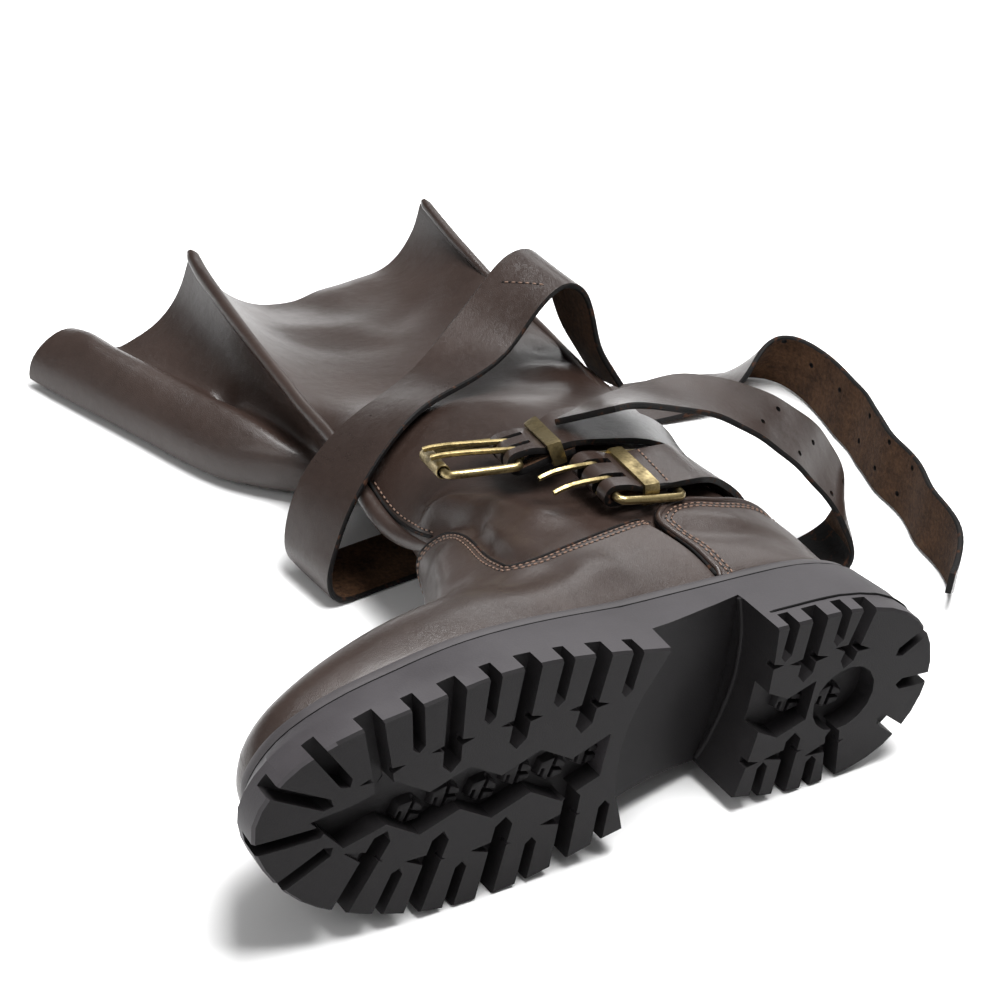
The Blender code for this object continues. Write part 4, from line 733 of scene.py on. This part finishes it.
def stitch_shape():
    """Corners and faces of one drop, a unit long, wide and high."""
    bpy.ops.object.select_all(action="DESELECT")
    bpy.ops.mesh.primitive_uv_sphere_add(segments=STITCH_SIDES, ring_count=STITCH_RINGS, radius=0.5)
    stitch = bpy.context.active_object
    start_edit("VERT", "SELECT")
    bpy.ops.transform.rotate(value=QUARTER_TURN, orient_axis="Y", center_override=(0.0, 0.0, 0.0))
    end_edit()
    corners = np.array([vertex.co for vertex in stitch.data.vertices])
    faces = [tuple(face.vertices) for face in stitch.data.polygons]
    bpy.data.objects.remove(stitch)
    return corners, faces


def sew(name, rows, carrier, slot):
    """Rows of stitches and dark pinholes of painted shade laid on a surface as one piece."""
    corners, faces = stitch_shape()
    all_corners, all_faces, finishes = [], [], []
    for row in rows:
        line = even_line(row, THREAD_PITCH)
        for here, after in zip(line[:-1], line[1:]):
            along = Vector(after - here).normalized()
            # Each pinhole is a flat dark drop: painted shade where the needle hole sinks in.
            drops = ((0, (here + after) / 2, THREAD_SIZE, THREAD_RISE), (1, here, PINHOLE_SHADE_SIZE, 0.0))
            for finish, at, size, rise in drops:
                spot, normal, _, _ = carrier.find_nearest(Vector(at))
                across = normal.cross(along).normalized()
                up = along.cross(across)
                turn = np.array([along, across, up])
                first = len(all_corners) * len(corners)
                all_corners.append((corners * size) @ turn + np.array(spot + up * rise))
                all_faces += [tuple(first + corner for corner in face) for face in faces]
                finishes += [finish] * len(faces)
    mesh = bpy.data.meshes.new(name)
    mesh.from_pydata(np.concatenate(all_corners), [], all_faces)
    piece = linked(name, mesh)
    paint(piece, THREAD, EDGE)
    mesh.polygons.foreach_set("material_index", finishes)
    smooth(piece, 0)
    return place(piece, "boot", slot)


def bead(name, points, radii, finish):
    """A round bead through points, with its own radius at each."""
    line = even_line(points, BEAD_STEP)
    reach = np.linalg.norm(np.diff(np.array(points, float), axis=0), axis=1)
    knots = np.concatenate([[0.0], np.cumsum(reach)])
    sizes = np.interp(np.linspace(0.0, knots[-1], len(line)), knots, radii)
    curve = bpy.data.curves.new(name, "CURVE")
    curve.dimensions = "3D"
    curve.bevel_depth = 1.0
    curve.bevel_resolution = BEAD_ROUND
    curve.use_fill_caps = True
    spline = curve.splines.new("POLY")
    spline.points.add(len(line) - 1)
    for knot, spot, size in zip(spline.points, line, sizes):
        knot.co = (*spot, 1.0)
        knot.radius = size
    piece = linked(name, curve)
    pick(piece)
    bpy.ops.object.convert(target="MESH")
    paint(piece, finish)
    smooth(piece, 0)
    return piece


def lay_bead(name, line, radius, finish, slot):
    """A bead of one radius, on the boot."""
    return place(bead(name, line, [radius] * len(line), finish), "boot", slot)


def round_corners(piece, welt):
    """Eases the corners of an overlay that lie clear of the welt."""
    shape = bmesh.new()
    shape.from_mesh(piece.data)
    sharp = {edge for edge in shape.edges if edge.calc_face_angle(0.0) > RIM_ANGLE}
    moves = {}
    for vertex in shape.verts:
        rims = [edge for edge in vertex.link_edges if edge in sharp]
        rims.sort(key=lambda edge: edge.calc_length())
        if len(rims) > 2 and welt.find_nearest(vertex.co)[3] > CLEAR_OF_WELT:
            beside = [edge.other_vert(vertex).co for edge in rims[-2:]]
            moves[vertex] = vertex.co.lerp((beside[0] + beside[1]) / 2, 1.0 - CORNER_KEEP)
    for vertex, spot in moves.items():
        vertex.co = spot
    shape.to_mesh(piece.data)
    shape.free()


def sit_on_welt(piece, welt, facing):
    """Brings the lower rim of a leather piece, where it faces down, to the welt."""
    low = [face for face in piece.data.polygons if face.normal.y < facing]
    for corner in {corner for face in low for corner in face.vertices}:
        vertex = piece.data.vertices[corner]
        spot, _, _, apart = welt.find_nearest(vertex.co)
        if apart < BASE_REACH:
            vertex.co.y = min(vertex.co.y, spot.y)


def ease(piece, point, reach, base):
    """Evens out the leather about a point, above a base height."""
    for vertex in piece.data.vertices:
        vertex.select = (vertex.co - Vector(point)).length < reach and vertex.co.y > base
    pick(piece)
    bpy.ops.object.mode_set(mode="EDIT")
    bpy.ops.mesh.vertices_smooth(factor=EASE_FACTOR, repeat=EASE_REPEATS)
    end_edit()


def lift(piece, height):
    """Moves all of a piece along its normals."""
    pick(piece)
    start_edit("VERT", "SELECT")
    bpy.ops.transform.shrink_fatten(value=height)
    end_edit()


def crease_leather(piece, creases):
    """Moves the leather along each crease, more near its line."""
    mesh = piece.data
    spots = np.empty(3 * len(mesh.vertices))
    mesh.vertices.foreach_get("co", spots)
    spots = spots.reshape(-1, 3)
    moved = spots.copy()
    for line, way, depth, width in creases:
        line = even_line(line, CREASE_STEP)
        way = np.array(Vector(way).normalized())
        apart = np.min(np.linalg.norm(spots[:, None, :] - line[None, :, :], axis=2), axis=1)
        moved += np.exp(-(apart / width) ** 2)[:, None] * way * depth
    mesh.vertices.foreach_set("co", moved.ravel())
    mesh.update()


def tuck(piece, cover):
    """Keeps leather that lies under an overlay below the overlay's outer face."""
    outer = surface_of(cover, outer=True)
    for vertex in piece.data.vertices:
        spot, normal, _, _ = outer.find_nearest(vertex.co, TUCK_REACH)
        if spot is not None:
            off = vertex.co - spot
            height = off.dot(normal)
            if height > -TUCK_DEPTH and (off - normal * height).length < TUCK_OFF:
                vertex.co -= normal * (height + TUCK_DEPTH)


def longest_run(flags):
    """The longest unbroken run of true places round a loop."""
    count = len(flags)
    best, run = [], []
    for k in range(2 * count):
        run = run + [k % count] if flags[k % count] and len(run) < count else []
        best = max(best, run, key=len)
    return best


def drawn_out(run):
    """A rim's run with both ends carried straight on, as far as the counter."""
    ends = []
    for one, other in ((run[0], run[SEAM_END]), (run[-1], run[-1 - SEAM_END])):
        way = (one[0] - other[0]).normalized()
        ends.append((one[0] + way * SEAM_REACH, one[1], one[2]))
    return [ends[0]] + run + [ends[1]]


def seam_run(loop, welt, counter):
    """The part of a rim that is sewn: clear of the welt, and of the counter if it is given."""
    clear = []
    for spot, _, inward in loop:
        off_welt = welt.find_nearest(spot)[3] > SEAM_CLEAR and inward.y < LEVEL_RIM
        off_counter = counter is None or counter.find_nearest(spot)[3] > CLEAR_OF_COUNTER
        clear.append(off_welt and off_counter)
    run = longest_run(clear)
    if len(run) <= SEAM_END:
        return []
    if counter:
        return drawn_out([loop[k] for k in run])
    return [loop[k % len(loop)] for k in [run[0] - 1] + run + [run[-1] + 1]]


def leather_piece(node, point, welt):
    """One piece of upper leather, smoothed, with its own finish on each side."""
    overlay = node != "upper"
    piece = welded(node, node + "_leather")
    if node == "counter":
        round_corners(piece, welt)
    hold_rims(piece, LEATHER_HOLD[node])
    if overlay:
        sit_on_welt(piece, welt, RIM_FACING[node])
    paint_sides(piece, point, BROWN, LINING, EDGE if overlay else BROWN)
    smooth(piece, FINE_LEVELS)
    for fold in HEEL_FOLDS if node == "counter" else []:
        ease(piece, fold, HEEL_EASE, HEEL_BASE)
    if overlay:
        lift(piece, OVERLAY_RISE)
    return place(piece, "boot", "brown_leather", node)


def dress_leather():
    """The creased upper, vamp and counter, and their beads, edges and stitches."""
    welt = surface_of(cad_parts["welt"])
    counter = surface_of(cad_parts["counter"])
    made = {node: leather_piece(node, point, welt) for node, point in OUTER_POINTS.items()}
    for piece in made.values():
        crease_leather(piece, CREASES)
    for under, cover in (("upper", "vamp"), ("upper", "counter"), ("vamp", "counter")):
        tuck(made[under], made[cover])
    trims = {"vamp": (["vamp", "upper"], counter, EDGE, EDGE_RADIUS, 0.0),
             "counter": (["counter"], None, BROWN, PIPING_RADIUS, PIPING_INSET)}
    for node, (carriers, stop, edging, radius, inset) in trims.items():
        skin = surface_of(*(made[carrier] for carrier in carriers), outer=True)
        rows = []
        for loop in rim_of(made[node], outer_side(made[node])):
            run = seam_run(loop, welt, stop)
            if run:
                for row in SEAM_ROWS:
                    rows.append([spot + inward * (inset + row) for spot, _, inward in run])
                line = on_skin(skin, even_line([spot for spot, _, _ in run], EDGE_STEP))
                lay_bead(node + "_edge", line, radius, edging, "brown_leather")
        sew(node + "_stitches", rows, skin, "brown_leather")
    for node, rows in (("front_seam", FRONT_BEAD), ("back_seam", BACK_BEAD)):
        spots, radii = zip(*rows)
        place(bead(node + "_bead", spots, radii, BROWN), "boot", "brown_leather", node)
    skin = surface_of(made["upper"], outer=True)
    sew("front_seam_stitches", [FRONT_LINE], skin, "brown_leather")
    line = on_skin(skin, FRONT_EDGE)
    lay_bead("front_seam_edge", line, FRONT_EDGE_RADIUS, EDGE, "brown_leather")


def narrow_slots(piece, middle, way):
    """Narrows the prong slots of a strap where it is folded round its buckle's bar."""
    for vertex in piece.data.vertices:
        off = vertex.co - middle
        over = off.dot(way)
        if (off - way * over).length < SLOT_NEAR and abs(over) < 2 * SLOT_MIDDLE:
            wide = abs(over) - SLOT_MIDDLE
            vertex.co += way * math.copysign(1.0, over) * wide * (SLOT_NARROW - 1.0)


def punch(piece, holes):
    """Cuts round holes through a strap."""
    bpy.ops.object.select_all(action="DESELECT")
    pins = []
    for spot, way in holes:
        turn = Vector(way).to_track_quat("Z", "Y").to_euler()
        bpy.ops.mesh.primitive_cylinder_add(vertices=HOLE_SIDES, radius=HOLE_RADIUS, depth=PIN_LONG,
                                            location=spot, rotation=turn)
        pins.append(bpy.context.active_object)
    pin = joined(pins, pins[-1])
    paint(pin, EDGE)
    cut_away(piece, pin)


def dress_straps():
    """The straps, with grain on one side, suede on the other and dark cut edges."""
    seams = {"wrap_strap": ("join_stitches", JOIN_LINE),
             "ankle_strap_lower": ("keeper_stitches", KEEPER_LINE)}
    for node, (side, point) in STRAP_SIDES.items():
        piece = welded(node, node + "_leather")
        if node in BARS:
            narrow_slots(piece, *(Vector(row) for row in BARS[node]))
        hold_rims(piece, STRAP_HOLD)
        front, back = (STRAP, SUEDE) if side == "grain" else (SUEDE, STRAP)
        paint_sides(piece, point, front, back, EDGE)
        smooth(piece, FINE_LEVELS)
        crease_leather(piece, STRAP_WAVES.get(node, []))
        if node in HOLES:
            punch(piece, HOLES[node])
        place(piece, "boot", "strap_leather", node)
        if node in seams:
            name, line = seams[node]
            sew(name, [line], surface_of(piece), "strap_leather")


def dress_metal():
    """The keepers, frames, roller and prongs, each on the body it moves with."""
    bodies = {"keeper_upper": "boot", "keeper_lower": "boot", "buckle_upper": "upper_frame",
              "roller_upper": "roller", "buckle_lower": "boot", "prong_upper_1": "upper_prong_1",
              "prong_upper_2": "upper_prong_2", "prong_lower_1": "lower_prong_1",
              "prong_lower_2": "lower_prong_2"}
    for node, body in bodies.items():
        piece = welded(node, node + "_brass")
        hold_rims(piece, BRASS_HOLD)
        paint(piece, BRASS)
        smooth(piece, FINE_LEVELS)
        place(piece, body, "antique_brass", node)


def cut_barbs(sole):
    """Cuts a pointed notch into both sides of each long groove."""
    bpy.ops.object.select_all(action="DESELECT")
    cutters = []
    for x, z, turn in BARBS:
        middle = (x, TREAD_Y, z)
        bpy.ops.mesh.primitive_cylinder_add(vertices=4, radius=1.0, depth=2.0, location=middle)
        start_edit("VERT", "SELECT")
        bpy.ops.transform.resize(value=(BARB_WIDE, BARB_LONG, BARB_DEEP), center_override=middle)
        bpy.ops.transform.rotate(value=QUARTER_TURN, orient_axis="X", center_override=middle)
        bpy.ops.transform.rotate(value=turn, orient_axis="Y", center_override=middle)
        end_edit()
        cutters.append(bpy.context.active_object)
    cut_away(sole, joined(cutters, cutters[-1]))


def slot_box(size, spot):
    bpy.ops.mesh.primitive_cube_add(size=1.0, location=spot)
    start_edit("VERT", "SELECT")
    bpy.ops.transform.resize(value=size, center_override=spot)
    end_edit()
    return bpy.context.active_object


def star_lug():
    """One tapered lug with crossed slots, standing upright."""
    bpy.ops.object.select_all(action="DESELECT")
    bpy.ops.mesh.primitive_cylinder_add(vertices=STAR_SIDES, radius=STAR_RADIUS, depth=STAR_HIGH,
                                        location=(0.0, 0.0, STAR_HIGH / 2))
    star = bpy.context.active_object
    start_edit("FACE", "DESELECT")
    end_edit()
    for face in star.data.polygons:
        face.select = face.normal.z > STAR_TOP_FACING
    bpy.ops.object.mode_set(mode="EDIT")
    bpy.ops.transform.resize(value=STAR_TAPER, center_override=(0.0, 0.0, STAR_HIGH))
    end_edit()
    for size, spot in STAR_SLOTS:
        cut_away(star, slot_box(size, spot))
    apply(star, "BEVEL", width=STAR_BEVEL, segments=1, limit_method="ANGLE",
          angle_limit=STAR_BEVEL_ANGLE)
    return star


def add_star_lugs():
    """Star lugs, low in the channels of the tread."""
    star = star_lug()
    upright = Matrix.Rotation(QUARTER_TURN, 4, "X")
    lugs = []
    for x, z, turn in STARS:
        lug = linked("star_lugs", star.data.copy())
        spot = Matrix.Translation((x, STAR_FLOOR, z))
        lug.data.transform(spot @ Matrix.Rotation(turn, 4, "Y") @ upright)
        lugs.append(lug)
    bpy.data.objects.remove(star)
    piece = joined(lugs, lugs[0])
    paint(piece, RUBBER)
    smooth(piece, 0)
    place(piece, "boot", "black_rubber")


def paint_wall_light(sole):
    """Paints the outer side wall a lighter grey rubber as painted light, and leaves the tread,
    groove walls and heel breast black as painted shade.
    """
    paint(sole, RUBBER, LIT_WALL_RUBBER)
    shape = surface_of(sole)
    for face in sole.data.polygons:
        start = face.center + face.normal * WALL_START
        _, normal, _, _ = shape.ray_cast(start, face.normal, WALL_CLEAR)
        inside = normal is not None and normal.dot(face.normal) < 0.0
        breast = face.normal.x < BREAST_FACING and face.center.x > WAIST_X
        if WALL_LOW < face.normal.y < WALL_HIGH and not inside and not breast:
            # Lit faces get the lighter copy as painted light; the rest stay black as painted shade.
            face.material_index = 1


def heel_line():
    """Places round the heel's side wall at the height of its moulding line."""
    shape = bmesh.new()
    shape.from_mesh(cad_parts["outsole"].data)
    everything = shape.verts[:] + shape.edges[:] + shape.faces[:]
    cut = bmesh.ops.bisect_plane(shape, geom=everything, plane_co=(0.0, HEEL_LINE_Y, 0.0),
                                 plane_no=(0.0, 1.0, 0.0))["geom_cut"]
    corners = [part.co.copy() for part in cut if isinstance(part, bmesh.types.BMVert)]
    shape.free()
    heel = [corner for corner in corners if corner.x > HEEL_START_X]
    ring = [heel[k] for k in convex_hull_2d([(corner.x, corner.z) for corner in heel])]
    first = max(range(len(ring)), key=lambda k: (ring[k] - ring[k - 1]).length)
    return ring[first:] + ring[:first]


def dress_sole():
    """The lugged sole with its barbs, star lugs, rib and moulding line, the line near-black as
    painted groove shadow.
    """
    sole = welded("outsole", "lugged_sole")
    cut_barbs(sole)
    pick(sole)
    start_edit("FACE", "SELECT")
    bpy.ops.mesh.dissolve_limited(angle_limit=FLAT_ANGLE)
    end_edit()
    smooth(sole, 0)
    apply(sole, "BEVEL", width=LUG_BEVEL, segments=2, limit_method="ANGLE",
          angle_limit=LUG_BEVEL_ANGLE, harden_normals=True)
    paint_wall_light(sole)
    place(sole, "boot", "black_rubber", "outsole")
    add_star_lugs()
    lay_bead("breast_rib", BREAST_RIB, RIB_RADIUS, RUBBER, "black_rubber")
    lay_bead("heel_line", heel_line(), LINE_RADIUS, GROOVE_SHADOW_LINE, "black_rubber")


def dress_welt():
    """The welt band, raised to the leather, and the line below it, a near-black bead of painted
    groove shadow.
    """
    welt = welded("welt", "welt_band")
    tops = [face for face in welt.data.polygons if face.normal.y > WELT_TOP_FACING]
    for corner in {corner for face in tops for corner in face.vertices}:
        welt.data.vertices[corner].co.y += WELT_RISE
    hold_rims(welt, WELT_HOLD)
    lines = []
    for loop in rim_of(welt, side_near(welt, WELT_POINT)):
        lines.append([spot + normal * LINE_PROUD for spot, normal, _ in loop])
    low = min(lines, key=lambda line: sum(spot.y for spot in line) / len(line))
    lay_bead("welt_line", low + low[:1], LINE_RADIUS, GROOVE_SHADOW_LINE, "grey_rubber")
    paint(welt, GREY_RUBBER)
    smooth(welt, PLAIN_LEVELS)
    place(welt, "boot", "grey_rubber", "welt")


def dress_insole():
    insole = welded("insole", "insole_board")
    hold_rims(insole, INSOLE_HOLD)
    paint(insole, BOARD)
    smooth(insole, PLAIN_LEVELS)
    place(insole, "boot", "insole_board", "insole")


def add_floor():
    finish = Finish("white_paper", Roughness=0.85, Specular_IOR_Level=0.1)
    shade = finish.mix(finish.noise(scale=4.0), tone(0.79, 0.79, 0.79), tone(0.81, 0.81, 0.81))
    finish.give("Base Color", shade)
    bpy.ops.object.select_all(action="DESELECT")
    bpy.ops.mesh.primitive_plane_add(size=FLOOR_SIZE, location=(0.0, 0.0, 0.0))
    floor = bpy.context.active_object
    floor.name = "floor"
    paint(floor, finish.material)


def add_light(name, spot, aim, size, power):
    bpy.ops.object.light_add(type="AREA", location=spot)
    light = bpy.context.active_object
    light.name = name
    light.data.shape = "RECTANGLE"
    light.data.size, light.data.size_y = size
    light.data.energy = power
    light.rotation_euler = (Vector(aim) - Vector(spot)).to_track_quat("-Z", "Y").to_euler()


def light_studio():
    world = bpy.data.worlds.new("studio")
    bpy.context.scene.world = world
    world.use_nodes = True
    background = world.node_tree.nodes["Background"]
    background.inputs["Color"].default_value = tone(1.0, 1.0, 1.0)
    background.inputs["Strength"].default_value = WORLD_STRENGTH
    for name, settings in LIGHTS.items():
        add_light(name, *settings)
    bpy.context.scene.view_settings.view_transform = "Standard"


def add_camera():
    bpy.ops.object.camera_add(location=CAMERA_PLACE)
    camera = bpy.context.active_object
    camera.name = "photo_camera"
    camera.rotation_euler = [math.radians(turn) for turn in CAMERA_TURNS]
    camera.data.sensor_width = CAMERA_SENSOR
    camera.data.lens = CAMERA_LENS
    bpy.context.scene.camera = camera


dress_leather()
dress_straps()
dress_metal()
dress_sole()
dress_welt()
dress_insole()
add_floor()
light_studio()
add_camera()
